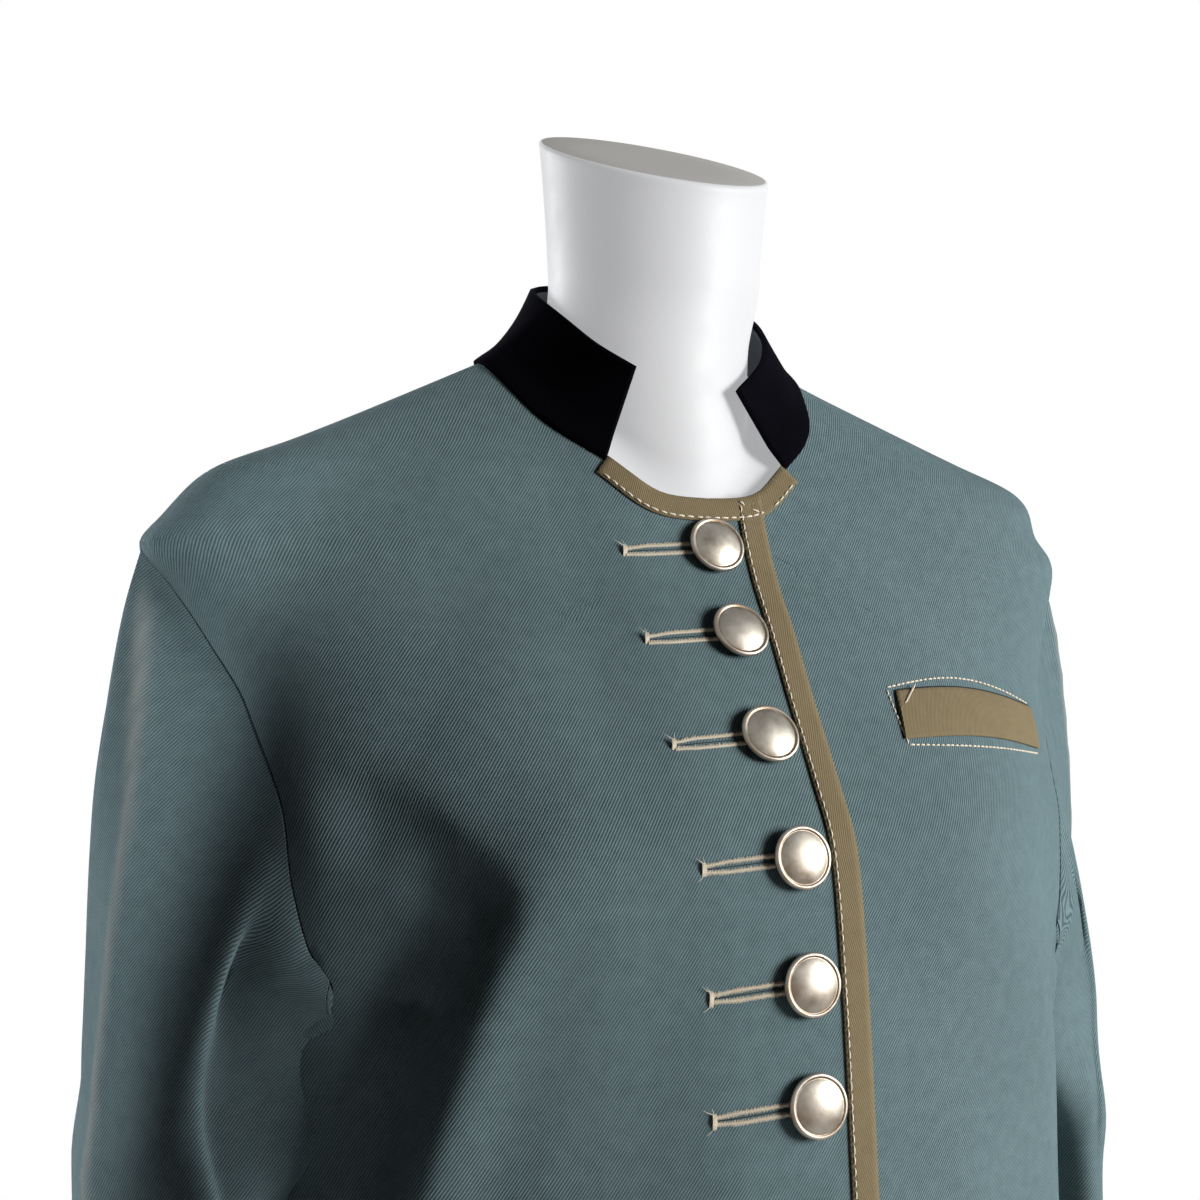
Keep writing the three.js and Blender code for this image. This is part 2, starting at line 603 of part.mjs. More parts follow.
// ---- Trim on the panels ----
const ON_PANEL = CLOTH / 2 + SEAM_GAP + TRIM_THICKNESS / 2;
const cornerRow = FRONT_ROWS.low + FRONT_ROWS.mid;
const crossRow = cornerRow + FRONT_ROWS.corner;
const bindingEnd = crossRow + FRONT_ROWS.binding;

const blend = (a, b, f) => ({ point: a.point.clone().lerp(b.point, f), normal: a.normal.clone().lerp(b.normal, f).normalize() });
// Draws a grid's first and last rows in by a distance.
function shortened(grid, first, last) {
  const rows = grid.map((row) => row.slice());
  const drawn = (v, next, distance) => blend(v, next, distance / Math.max(v.point.distanceTo(next.point), 1));
  rows[0] = grid[0].map((v, c) => drawn(v, grid[1][c], first));
  const n = grid.length - 1;
  rows[n] = grid[n].map((v, c) => drawn(v, grid[n - 1][c], last));
  return rows;
}

const edgeBand = shortened(movedOut(part(frontRightGrid, 0, cornerRow, 0, 1), ON_PANEL), 0, 0.3);
const neckBindingRight = shortened(movedOut(part(frontRightGrid, cornerRow, bindingEnd, 0, 1), ON_PANEL), 0.3, 1);
const neckBindingLeft = shortened(movedOut(part(frontLeftGrid, crossRow, bindingEnd, 0, 1), ON_PANEL), 2, 1);

// A patch on the body's surface between four places, as a welt.
const WELT_COLUMNS = 10;
function patch(side, corners, distance) {
  const [a, b, c, d] = corners; // outer lower, outer upper, inner upper, inner lower; as {x, z}
  return Array.from({ length: 3 }, (_, r) =>
    Array.from({ length: WELT_COLUMNS + 1 }, (_, k) => {
      const f = k / WELT_COLUMNS;
      const h = r / 2;
      const z = lerp(lerp(d.z, a.z, f), lerp(c.z, b.z, f), h);
      const x = lerp(lerp(d.x, a.x, f), lerp(c.x, b.x, f), h);
      const angle = side * angleOfX(x, z);
      const normal = bodyNormal(angle, z);
      return { point: bodyPoint(angle, z).addScaledVector(normal, distance), normal };
    }),
  );
}
const BREAST_WELT = [
  { x: 151, z: 578 },
  { x: 151, z: 592 },
  { x: 73, z: 602 },
  { x: 76, z: 584 },
];
const LOWER_WELT = [
  { x: 168, z: 372 },
  { x: 166, z: 394 },
  { x: 98, z: 318 },
  { x: 110, z: 302 },
];
const WELT_DISTANCE = ON_PANEL + 0.9;

// ---- Buttons ----
const BUTTON_X = -1;
const BUTTON_TOP_Z = 660;
const BUTTON_SPACING = [40, 45, 48, 45, 43, 45, 45, 45, 45];
// A button's profile with its shank: radius and height above its back.
const BUTTON_PROFILE = [
  { r: 0, h: -1.2 },
  { r: 3.5, h: -1.2 },
  { r: 3.5, h: 0 },
  { r: 10.4, h: 0 },
  { r: 12, h: 1.1 },
  { r: 12, h: 2.2 },
  { r: 11, h: 3 },
  { r: 9.9, h: 2.5 },
  { r: 6.2, h: 4.2 },
  { r: 0, h: 5 },
];
const BUTTON_RISE = CLOTH / 2 + 1.6;

function button(z) {
  const angle = angleOfX(BUTTON_X, z);
  const normal = bodyNormal(angle, z);
  const place = bodyPoint(angle, z).addScaledVector(normal, CLOTH + LAP_GAP + BUTTON_RISE);
  const positions = [0, 0, BUTTON_PROFILE[0].h];
  const rings = BUTTON_PROFILE.slice(1, -1);
  for (const { r, h } of rings)
    for (let i = 0; i < BUTTON_SIDES; i++) {
      const a = ((i + 0.5) / BUTTON_SIDES) * 2 * Math.PI;
      positions.push(r * Math.cos(a), r * Math.sin(a), h);
    }
  const crown = BUTTON_PROFILE[BUTTON_PROFILE.length - 1];
  positions.push(0, 0, crown.h);
  const at = (ring, i) => 1 + ring * BUTTON_SIDES + (i % BUTTON_SIDES);
  const topIndex = 1 + rings.length * BUTTON_SIDES;
  const index = [];
  for (let i = 0; i < BUTTON_SIDES; i++) {
    index.push(0, at(0, i + 1), at(0, i));
    for (let r = 0; r < rings.length - 1; r++) {
      index.push(at(r, i), at(r, i + 1), at(r + 1, i + 1), at(r, i), at(r + 1, i + 1), at(r + 1, i));
    }
    index.push(at(rings.length - 1, i), at(rings.length - 1, i + 1), topIndex);
  }
  const geometry = new THREE.BufferGeometry();
  geometry.setAttribute("position", new THREE.Float32BufferAttribute(positions, 3));
  geometry.setIndex(index);
  geometry.applyQuaternion(new THREE.Quaternion().setFromUnitVectors(new THREE.Vector3(0, 0, 1), normal));
  geometry.translate(...place.toArray());
  return facingOut(geometry);
}

// The buttons' heights, by their distances along the front.
function buttonHeights() {
  const list = [BUTTON_TOP_Z];
  for (const spacing of BUTTON_SPACING) {
    let z = list[list.length - 1];
    let left = spacing;
    while (left > 0) {
      left -= bodyPoint(0, z).distanceTo(bodyPoint(0, z - 0.5));
      z -= 0.5;
    }
    list.push(z);
  }
  return list;
}

// ---- Dress form ----
const FORM_SIDES = 40;
const FORM_AXIS_Y = -2;
const REST_GAP = 2.0; // from the cloth's middle surface down to the form along the shoulders
const FORM_RINGS = [
  { z: 0, half: 160, front: 94, back: 100 },
  { z: 6, half: 166, front: 99, back: 106 },
  { z: 100, half: 173, front: 106, back: 113 },
  { z: 175, half: 171, front: 108, back: 108 },
  { z: 250, half: 162, front: 107, back: 96 },
  { z: 330, half: 152, front: 106, back: 86 },
  { z: 420, half: 160, front: 110, back: 90 },
  { z: 500, half: 172, front: 112, back: 96 },
  { z: 545, half: 178, front: 106, back: 99 },
  { z: 587, half: 187, front: 87, back: 96 },
  { z: 626, half: 196, front: 66, back: 91 },
  { z: 650, half: 200, front: 55, back: 86 },
  { z: 661, half: 199, front: 50, back: 84 },
  { z: 670, half: 196, front: 46.5, back: 81 },
];
const FORM_NECK_RADIUS = 45.3;
const FORM_CAP = { z: 831, slope: 0.42, flare: 4.2 };
const FORM_BLEND = 7;

const formHalf = columnOf(FORM_RINGS, "half");
const formFront = columnOf(FORM_RINGS, "front");
const formBack = columnOf(FORM_RINGS, "back");

function formTorso(z) {
  const last = FORM_RINGS[FORM_RINGS.length - 1].z;
  if (z <= last) return { half: formHalf(z), front: formFront(z), back: formBack(z) };
  const w = smoothstep(z, last, last + 22);
  const zUp = z + REST_GAP;
  const over = Math.max(zUp - 738, 0) * 2.5;
  return {
    half: lerp(formHalf(last) - (z - last) * 1.2, half(zUp) - over, w),
    front: lerp(formFront(last) - (z - last) * 0.4, front(zUp) - 2.5, w),
    back: lerp(formBack(last) - (z - last) * 0.3, back(zUp) - 3 - over, w),
  };
}

// How far the form reaches from its axis in a direction.
function formReach(angle, z) {
  const { half: w, front: f, back: b } = formTorso(z);
  const [dx, dy] = [Math.sin(angle), -Math.cos(angle)];
  const inside = (r) => {
    const x = (r * dx) / w;
    const y = FORM_AXIS_Y + r * dy - SIDE_Y;
    const reach = y < 0 ? f + SIDE_Y : b - SIDE_Y;
    const power = 2 / (y < 0 ? FRONT_SQUARENESS : backSquareness(z + REST_GAP));
    return x * x + Math.abs(y / reach) ** power < 1;
  };
  let [low, high] = [0, 260];
  for (let i = 0; i < 30; i++) {
    const mid = (low + high) / 2;
    if (inside(mid)) low = mid;
    else high = mid;
  }
  if (z < 600) return low;
  if (z > 746) low = 0;
  const base = smoothstep(z, 683, 790);
  const flare = FORM_CAP.flare * smoothstep(z, 770, FORM_CAP.z);
  const neck = FORM_NECK_RADIUS + flare - 4.8 * (1 - base) * Math.max(Math.cos(angle), 0);
  const d = clamp(0.5 + (low - neck) / (2 * FORM_BLEND), 0, 1);
  return lerp(neck, low, d) + FORM_BLEND * d * (1 - d) * 0.5;
}

function dressForm() {
  const heights = [
    0, 3, 10, 50, 100, 150, 200, 250, 300, 350, 400, 450, 500, 540, 580, 610, 635, 652, 664, 673, 681, 687, 691, 695,
    700, 706, 713, 720, 727, 734, 741, 748, 756, 768, 785, 802,
  ];
  const positions = [];
  const ring = (z) => {
    for (let i = 0; i < FORM_SIDES; i++) {
      const a = (i / FORM_SIDES) * 2 * Math.PI;
      const r = formReach(a, z);
      positions.push(r * Math.sin(a), FORM_AXIS_Y - r * Math.cos(a), z);
    }
  };
  heights.forEach(ring);
  const capRing = (inset, drop) => {
    for (let i = 0; i < FORM_SIDES; i++) {
      const a = (i / FORM_SIDES) * 2 * Math.PI;
      const r = FORM_NECK_RADIUS + FORM_CAP.flare - inset;
      const y = -r * Math.cos(a);
      positions.push(r * Math.sin(a), FORM_AXIS_Y + y, FORM_CAP.z + FORM_CAP.slope * y - drop);
    }
  };
  capRing(0, 3);
  capRing(2.5, 0);
  const rings = heights.length + 2;
  const bottom = rings * FORM_SIDES;
  positions.push(0, FORM_AXIS_Y, 0, 0, FORM_AXIS_Y, FORM_CAP.z);
  const at = (r, i) => r * FORM_SIDES + (i % FORM_SIDES);
  const index = [];
  for (let i = 0; i < FORM_SIDES; i++) {
    index.push(bottom, at(0, i), at(0, i + 1));
    for (let r = 0; r < rings - 1; r++)
      index.push(at(r, i), at(r + 1, i + 1), at(r, i + 1), at(r, i), at(r + 1, i), at(r + 1, i + 1));
    index.push(at(rings - 1, i), bottom + 1, at(rings - 1, i + 1));
  }
  const geometry = new THREE.BufferGeometry();
  geometry.setAttribute("position", new THREE.Float32BufferAttribute(positions, 3));
  geometry.setIndex(index);
  return facingOut(geometry);
}

// ---- Assembly ----
const root = new THREE.Group();
const material = (color, roughness, metalness = 0) => new THREE.MeshStandardMaterial({ color, roughness, metalness });
const MATERIALS = {
  twill: material(0x52686a, 0.9),
  velvet: material(0x050507, 1),
  tan: material(0x8a7a5c, 0.85),
  silver: material(0xb9b2a6, 0.3, 1),
  form: material(0xe9ebee, 0.25),
};
function add(name, geometry, look) {
  const mesh = new THREE.Mesh(geometry, MATERIALS[look]);
  mesh.name = name;
  root.add(mesh);
}
add("dress_form", dressForm(), "form");
add("front_left", wall(frontLeftGrid, CLOTH), "twill");
add("front_right", wall(frontRightGrid, CLOTH), "twill");
add("back_left", wall(backLeftGrid, CLOTH), "twill");
add("back_right", wall(backRightGrid, CLOTH), "twill");
for (const [side, word] of [
  [1, "left"],
  [-1, "right"],
]) {
  add(`sleeve_upper_${word}`, wall(sleeveGrid(side, BACK_SEAM - 1, FRONT_SEAM, 16), CLOTH), "twill");
  add(`sleeve_under_${word}`, wall(sleeveGrid(side, FRONT_SEAM, BACK_SEAM, 10), CLOTH), "twill");
}
add("collar", wall(collarGrid(), COLLAR_THICKNESS), "velvet");
add("edge_band", wall(edgeBand, TRIM_THICKNESS), "tan");
add("neck_binding_right", wall(neckBindingRight, TRIM_THICKNESS), "tan");
add("neck_binding_left", wall(neckBindingLeft, TRIM_THICKNESS), "tan");
add("breast_welt", wall(patch(1, BREAST_WELT, WELT_DISTANCE), TRIM_THICKNESS), "tan");
add("lower_welt_left", wall(patch(1, LOWER_WELT, WELT_DISTANCE), TRIM_THICKNESS), "tan");
add("lower_welt_right", wall(patch(-1, LOWER_WELT, WELT_DISTANCE), TRIM_THICKNESS), "tan");
buttonHeights().forEach((z, i) => add(`button_${i + 1}`, button(z), "silver"));

export default root;
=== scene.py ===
import math
import bpy
import numpy as np
from mathutils import Matrix, Vector


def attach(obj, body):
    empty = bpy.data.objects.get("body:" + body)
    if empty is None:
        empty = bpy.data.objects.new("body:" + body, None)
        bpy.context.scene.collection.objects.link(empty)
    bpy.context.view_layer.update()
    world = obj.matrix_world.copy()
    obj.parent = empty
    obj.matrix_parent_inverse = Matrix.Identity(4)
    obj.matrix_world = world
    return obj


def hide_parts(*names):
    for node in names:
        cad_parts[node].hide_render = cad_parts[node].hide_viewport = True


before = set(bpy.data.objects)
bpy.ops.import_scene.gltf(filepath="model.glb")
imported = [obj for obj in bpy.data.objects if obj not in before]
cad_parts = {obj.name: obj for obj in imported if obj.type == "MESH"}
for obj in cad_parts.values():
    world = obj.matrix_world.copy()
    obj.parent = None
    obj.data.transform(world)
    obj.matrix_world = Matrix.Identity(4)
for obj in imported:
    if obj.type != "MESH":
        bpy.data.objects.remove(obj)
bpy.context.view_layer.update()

RAD = math.pi / 180
MM = 0.001

# ---- Driving dimensions, in mm ----
CLOTH = 1.6
LAP_GAP = 1.3
HEM_Z, UNDERARM_Z, SHOULDER_POINT_Z, NECK_POINT_Z, NECK_POINT_X = 175, 481, 661, 739, 73
SIDE_Y = 3
FRONT_SQUARENESS = 0.8
BACK_SQUARENESS = dict(low=0.85, high=1.15, start=600, end=690)
OVERLAP_X = 25
EDGE_BAND_WIDTH, NECK_BINDING_WIDTH, TRIM = 12, 10, 1.0
COLLAR_THICKNESS, COLLAR_END_X = 2.6, 41

BODY_RINGS = [  # z, half width, front reach, back reach
    (175, 190, 146, 118), (250, 181, 140, 105), (330, 176, 136, 97), (390, 177, 134, 97), (457, 184, 129, 101),
    (507, 190, 124, 106), (545, 191, 118, 108), (570, 190, 105, 106), (600, 190.5, 87.5, 102), (626, 198, 73, 98),
    (646, 207, 60.5, 93.5), (661, 214, 53.5, 90), (672, 207, 49.5, 87), (684, 198, 45.5, 83), (691, 189, 42.5, 80),
    (704, 156, 36.5, 74), (720, 117, 27, 69), (739, 73, 12, 63), (747, 56, 8, 61), (760, 48, 6, 58),
]
# Soft ridges and troughs: side, angle and height at the top, angle and height at the bottom, width in degrees, rise.
BODY_FOLDS = [
    (-1, 36, 512, 64, 300, 7, 5), (-1, 52, 505, 80, 330, 10, -4.5), (1, 40, 505, 62, 280, 8, 4),
    (1, 56, 500, 78, 320, 9, -4), (-1, 46, 640, 56, 545, 9, -4), (1, 46, 640, 56, 545, 9, -3),
]
BUST = dict(x=84, z=528, rise=7, spread_x=38, spread_z=46)
# The wearer's right shoulder stands out square, and the left one is rounder: side, widening, height, spread.
SHOULDERS = [(-1, 3, 663, 14), (1, -8.5, 668, 14), (1, 1.5, 692, 12)]
NECK_SHIFT = dict(by=-4.5, start=695, end=740)  # the neck opening sits a little towards the wearer's right
NECK_FRONT = [(0, 680.5), (22, 683), (COLLAR_END_X, 697), (61, 714), (NECK_POINT_X, NECK_POINT_Z)]  # x, z
NECK_BACK = [(NECK_POINT_X, NECK_POINT_Z), (54, 744.5), (30, 747), (0, 748)]
ARMHOLE_FRONT = [  # angle, z
    (90, UNDERARM_Z), (70, 483.5), (61.5, 497), (64.5, 514), (66.5, 537), (68, 565), (74.5, 598), (82.5, 630),
    (90, SHOULDER_POINT_Z),
]
ARMHOLE_BACK = [
    (90, UNDERARM_Z), (108, 485), (114, 503), (114, 535), (112, 570), (110, 605), (104, 638), (90, SHOULDER_POINT_Z),
]

# Finer creases of the cloth, as BODY_FOLDS. Angles over 90 are on the back.
FINE_FOLDS = [
    (-1, 46, 640, 56, 545, 9, 3.4), (1, 46, 640, 56, 545, 9, 2.0), (-1, 34, 530, 66, 330, 5, 4.0),
    (-1, 30, 470, 44, 330, 4, 0.8), (-1, 24, 330, 38, 200, 5, 1.6), (-1, 58, 300, 70, 195, 5, 1.8),
    (1, 22, 440, 34, 300, 5, 1.0), (1, 30, 300, 44, 190, 6, 1.8), (1, 66, 300, 74, 190, 5, 2.0),
    (-1, 70, 470, 84, 380, 4, 1.6), (1, 70, 470, 84, 385, 4, 1.4), (-1, 30, 655, 44, 590, 6, -1.0),
    (1, 26, 660, 40, 600, 6, -0.8), (-1, 150, 600, 128, 470, 7, 2.4), (1, 148, 590, 124, 455, 8, 2.6),
    (-1, 128, 470, 118, 330, 6, -2.6), (1, 130, 460, 116, 320, 6, -2.2), (-1, 160, 420, 150, 260, 6, 2.0),
    (1, 166, 400, 154, 240, 7, 2.2), (-1, 118, 560, 112, 480, 4, 2.0), (1, 118, 565, 112, 478, 4, 1.8),
    (-1, 108, 330, 104, 190, 5, 2.2), (1, 106, 335, 102, 185, 5, 2.4), (-1, 172, 330, 168, 190, 6, -1.6),
]
# Hollows and swells: side, angle, height, spread in degrees, spread in height, rise.
HOLLOWS = [
    (-1, 54, 508, 11, 36, -5), (-1, 46, 538, 4, 9, -1.6), (-1, 52, 532, 5, 7, 1.2), (-1, 50, 492, 5, 7, -2.0),
    (1, 54, 518, 11, 36, -4), (-1, 57, 450, 8, 26, -2), (-1, 43, 520, 3.5, 8, 1.4),
]
# The hollow below the wearer's right chest falls away from this edge of angles and heights.
EDGE_OF_HOLLOW = [
    (67, 592), (57, 584), (47.5, 573), (40, 554), (34.5, 532), (37.5, 507), (43.5, 468), (51.5, 428), (60, 385),
]
# How deep it falls, how far from the edge, and between which heights and angles it fades out.
HOLLOW_FALL = dict(depth=5.0, start=-7, end=15, fade=36, low=(370, 430), high=(552, 590), armhole=(52, 63))
MM_PER_DEGREE = 3.0


def lerp(a, b, f):
    return a + (b - a) * f


def smooth(x, a, b):
    t = np.clip((x - a) / (b - a), 0, 1)
    return t * t * (3 - 2 * t)


def bell(x):
    """1 at 0, falling off to both sides."""
    return np.exp(-(x ** 2))


def hermite(f, a, b, slope_a, slope_b):
    """A cubic from a to b with the slopes at its ends."""
    f2, f3 = f * f, f ** 3
    return (2 * f3 - 3 * f2 + 1) * a + (f3 - 2 * f2 + f) * slope_a + (3 * f2 - 2 * f3) * b + (f3 - f2) * slope_b


def lengths_along(points):
    return np.concatenate([[0], np.cumsum(np.linalg.norm(np.diff(points, axis=0), axis=-1))])


def curve(rows, col, t):
    """A smooth curve through a table's rows at places t from 0 to rows - 1."""
    v = np.array([r[col] for r in rows], float)
    n = len(v)
    t = np.clip(np.asarray(t, float), 0, n - 1)
    i = np.minimum(np.floor(t).astype(int), n - 2)
    f = t - i
    at = lambda k: v[np.clip(k, 0, n - 1)]
    a, b, c, d = at(i - 1), at(i), at(i + 1), at(i + 2)
    return hermite(f, b, c, (c - a) / 2, (d - b) / 2)


def column(rows, col):
    """A column of a table as a smooth function of its first column."""
    z, v = (np.array([r[k] for r in rows], float) for k in (0, col))
    s = np.zeros(len(z))
    d = np.diff(v) / np.diff(z)
    for i in range(1, len(z) - 1):
        if d[i - 1] * d[i] > 0:
            s[i] = 2 * d[i - 1] * d[i] / (d[i - 1] + d[i])
    s[0] = d[0]

    def fn(at):
        at = np.clip(np.asarray(at, float), z[0], z[-1])
        i = np.clip(np.searchsorted(z, at, side="right") - 1, 0, len(z) - 2)
        h = z[i + 1] - z[i]
        return hermite((at - z[i]) / h, v[i], v[i + 1], h * s[i], h * s[i + 1])

    return fn


half, front, back = (column(BODY_RINGS, k) for k in (1, 2, 3))


def back_squareness(z):
    b = BACK_SQUARENESS
    return lerp(b["low"], b["high"], smooth(z, b["start"], b["end"]))


def fold_rise(angle, z, folds):
    side = np.where(angle < 0, -1, 1)
    total = np.zeros(np.shape(angle))
    for s, a0, z0, a1, z1, width, rise in folds:
        t = (z0 - z) / (z0 - z1)
        centre = lerp(a0, a1, np.clip(t, -0.3, 1.5))
        fade = smooth(t, -0.25, 0.2) * (1 - smooth(t, 0.85, 1.5))
        total = total + np.where(side == s, rise * fade * bell((np.abs(angle) - centre) / width), 0)
    return total


def hollow_fall(angle, z):
    """How far the cloth falls away inside EDGE_OF_HOLLOW, on the wearer's right."""
    edge = np.array(EDGE_OF_HOLLOW, float) * (MM_PER_DEGREE, 1.0)
    k = np.linspace(0, len(edge) - 1, 81)
    path = np.stack([curve(edge, 0, k), curve(edge, 1, k)], -1)
    at = np.stack([-MM_PER_DEGREE * angle, z], -1)
    d = at[..., None, :] - path
    nearest = np.argmin((d ** 2).sum(-1), axis=-1)
    along = np.gradient(path, axis=0)[nearest]
    d = np.take_along_axis(d, nearest[..., None, None], -2)[..., 0, :]
    away = np.linalg.norm(d, axis=-1) * np.sign(along[..., 0] * d[..., 1] - along[..., 1] * d[..., 0])
    h = HOLLOW_FALL
    fall = smooth(away, h["start"], h["end"]) * bell(np.maximum(away - h["end"], 0) / h["fade"])
    within = smooth(z, *h["low"]) * (1 - smooth(z, *h["high"])) * (1 - smooth(-angle, *h["armhole"])) * (angle < 0)
    return -h["depth"] * fall * within


def neck_shift(z):
    return NECK_SHIFT["by"] * smooth(z, NECK_SHIFT["start"], NECK_SHIFT["end"])


def body_point(angle, z, fine=True):
    """The cloth's middle surface. angle is in degrees from the centre front, positive on the wearer's left."""
    angle, z = np.broadcast_arrays(np.asarray(angle, float), np.asarray(z, float))
    a = np.abs(angle) * RAD
    side = np.where(angle < 0, -1.0, 1.0)
    c = np.cos(a)
    is_front = c >= 0
    reach = np.where(is_front, -(front(z) + SIDE_Y), back(z) - SIDE_Y)
    square = np.where(is_front, FRONT_SQUARENESS, back_squareness(z))
    x = half(z) * np.sin(a)
    y = SIDE_Y + reach * np.abs(c) ** square
    dx, dz = (x - BUST["x"]) / BUST["spread_x"], (z - BUST["z"]) / BUST["spread_z"]
    y = y - np.where(is_front, BUST["rise"] * np.exp(-dx * dx - dz * dz), 0)
    wider = 0
    for s, by, at, spread in SHOULDERS:
        wider = wider + np.where(side == s, by * bell((z - at) / spread) * (x / half(z)) ** 4, 0)
    rise = fold_rise(angle, z, BODY_FOLDS)
    if fine:
        rise = rise + fold_rise(angle, z, FINE_FOLDS) + hollow_fall(angle, z)
        for s, at, height, wide, tall, by in HOLLOWS:
            da, dz = (np.abs(angle) - at) / wide, (z - height) / tall
            rise = rise + np.where(side == s, by * np.exp(-da * da - dz * dz), 0)
    ox, oy = np.sin(a), -np.sign(c) * np.abs(c) ** 0.9
    n = np.sqrt(ox * ox + oy * oy)
    return np.stack([side * (x + wider + ox / n * rise) + neck_shift(z), y + oy / n * rise, z], -1)


def unit(v):
    return v / np.maximum(np.linalg.norm(v, axis=-1, keepdims=True), 1e-12)


def body_normal(angle, z):
    across = body_point(angle + 1.2, z) - body_point(angle - 1.2, z)
    up = body_point(angle, z + 1) - body_point(angle, z - 1)
    return unit(np.cross(across, up))


def angle_of_x(x, z):
    return np.arcsin(np.clip(x / half(z), -1, 1)) / RAD


def neck_front(t):
    z = curve(NECK_FRONT, 1, t)
    return angle_of_x(curve(NECK_FRONT, 0, t), z), z


def neck_back(t):
    z = curve(NECK_BACK, 1, t)
    return 180 - angle_of_x(curve(NECK_BACK, 0, t), z), z


def neck_signed(t):
    a, z = neck_front(abs(t))
    return math.copysign(1, t) * float(a), float(z)


def armhole(table, t):
    return curve(table, 0, t), curve(table, 1, t)


def lift_at(x):
    return (CLOTH + LAP_GAP) * (1 - smooth(-x, OVERLAP_X + 3, 70))


# Lengths over the cloth, so that the weave keeps its scale: round the ring, and up the centre front.
ARC_Z = np.linspace(HEM_Z - 5, 765, 120)
_ring = body_point(np.linspace(0, 180, 181)[None, :], ARC_Z[:, None], fine=False)
_steps = np.linalg.norm(np.diff(_ring, axis=1), axis=-1)
ARC = np.concatenate([np.zeros((len(ARC_Z), 1)), np.cumsum(_steps, axis=1)], axis=1)
RISE = lengths_along(body_point(np.zeros(len(ARC_Z)), ARC_Z, fine=False))


def cloth_uv(angle, z):
    zi = np.interp(z, ARC_Z, np.arange(len(ARC_Z)))
    ai = np.clip(np.abs(angle), 0, 180)
    z0 = np.clip(np.floor(zi).astype(int), 0, len(ARC_Z) - 2)
    a0 = np.clip(np.floor(ai).astype(int), 0, 179)
    around = lambda r: lerp(ARC[r, a0], ARC[r, a0 + 1], ai - a0)
    u = lerp(around(z0), around(z0 + 1), zi - z0)
    return np.stack([np.where(angle < 0, -u, u), np.interp(z, ARC_Z, RISE)], -1)


# ---- Meshes ----
RIM_PULL = 0.36  # how far a wall's rim is rounded, as a share of its thickness


def mesh_object(name, verts_mm, faces, material, sharp, uv=None, replaces=()):
    mesh = bpy.data.meshes.new(name)
    faces = [tuple(int(i) for i in f) for f in faces]
    mesh.from_pydata((np.asarray(verts_mm) * MM).tolist(), [], faces)
    if uv is not None:
        layer = mesh.uv_layers.new(name="cloth")
        loops = np.empty(len(mesh.loops), dtype=np.int32)
        mesh.loops.foreach_get("vertex_index", loops)
        layer.data.foreach_set("uv", (np.asarray(uv)[loops] * MM).astype(np.float32).ravel())
    mesh.materials.append(material)
    mesh.shade_smooth()
    if sharp:
        mesh.set_sharp_from_angle(angle=sharp * RAD)
    mesh.update()
    obj = bpy.data.objects.new(name, mesh)
    bpy.context.scene.collection.objects.link(obj)
    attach(obj, "root")
    if replaces:
        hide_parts(*replaces)
    return obj


def grid_normals(p):
    return unit(np.cross(np.gradient(p, axis=1), np.gradient(p, axis=0)))


def shell(p, n, t, uv):
    """A closed wall of thickness t round a grid of points, with a soft rim: vertices, faces, uv."""
    rows, cols = p.shape[:2]
    outer, inner = p + n * t / 2, p - n * t / 2
    pull = RIM_PULL * t
    for layer in (outer, inner):
        q = layer.copy()
        layer[0] += unit(q[1] - q[0]) * pull
        layer[-1] += unit(q[-2] - q[-1]) * pull
        layer[:, 0] += unit(q[:, 1] - q[:, 0]) * pull
        layer[:, -1] += unit(q[:, -2] - q[:, -1]) * pull
    o = np.arange(rows * cols).reshape(rows, cols)
    i = o + rows * cols
    loop = [(0, c) for c in range(cols)] + [(r, cols - 1) for r in range(1, rows)]
    loop += [(rows - 1, c) for c in range(cols - 2, -1, -1)] + [(r, 0) for r in range(rows - 2, 0, -1)]
    rr, cc = np.array(loop).T
    m = 2 * rows * cols + np.arange(len(loop))
    verts = np.concatenate([outer.reshape(-1, 3), inner.reshape(-1, 3), p[rr, cc]])
    uvs = np.concatenate([uv.reshape(-1, 2), uv.reshape(-1, 2), uv[rr, cc]])
    quads = lambda k: np.stack([k[:-1, :-1], k[:-1, 1:], k[1:, 1:], k[1:, :-1]], -1).reshape(-1, 4)
    fo, fi = quads(o), quads(i)[:, ::-1]
    lo, li = o[rr, cc], i[rr, cc]
    nx = lambda k: np.roll(k, -1)
    rim = [np.stack([nx(lo), lo, m, nx(m)], -1), np.stack([nx(m), m, li, nx(li)], -1)]
    faces = np.concatenate([fo, fi] + rim)
    # faces point out when the outer layer's faces agree with the normals
    a, b, c = verts[fo[0][:3]]
    if np.dot(np.cross(b - a, c - b), n.reshape(-1, 3)[0]) < 0:
        faces = faces[:, ::-1]
    return verts, faces, uvs


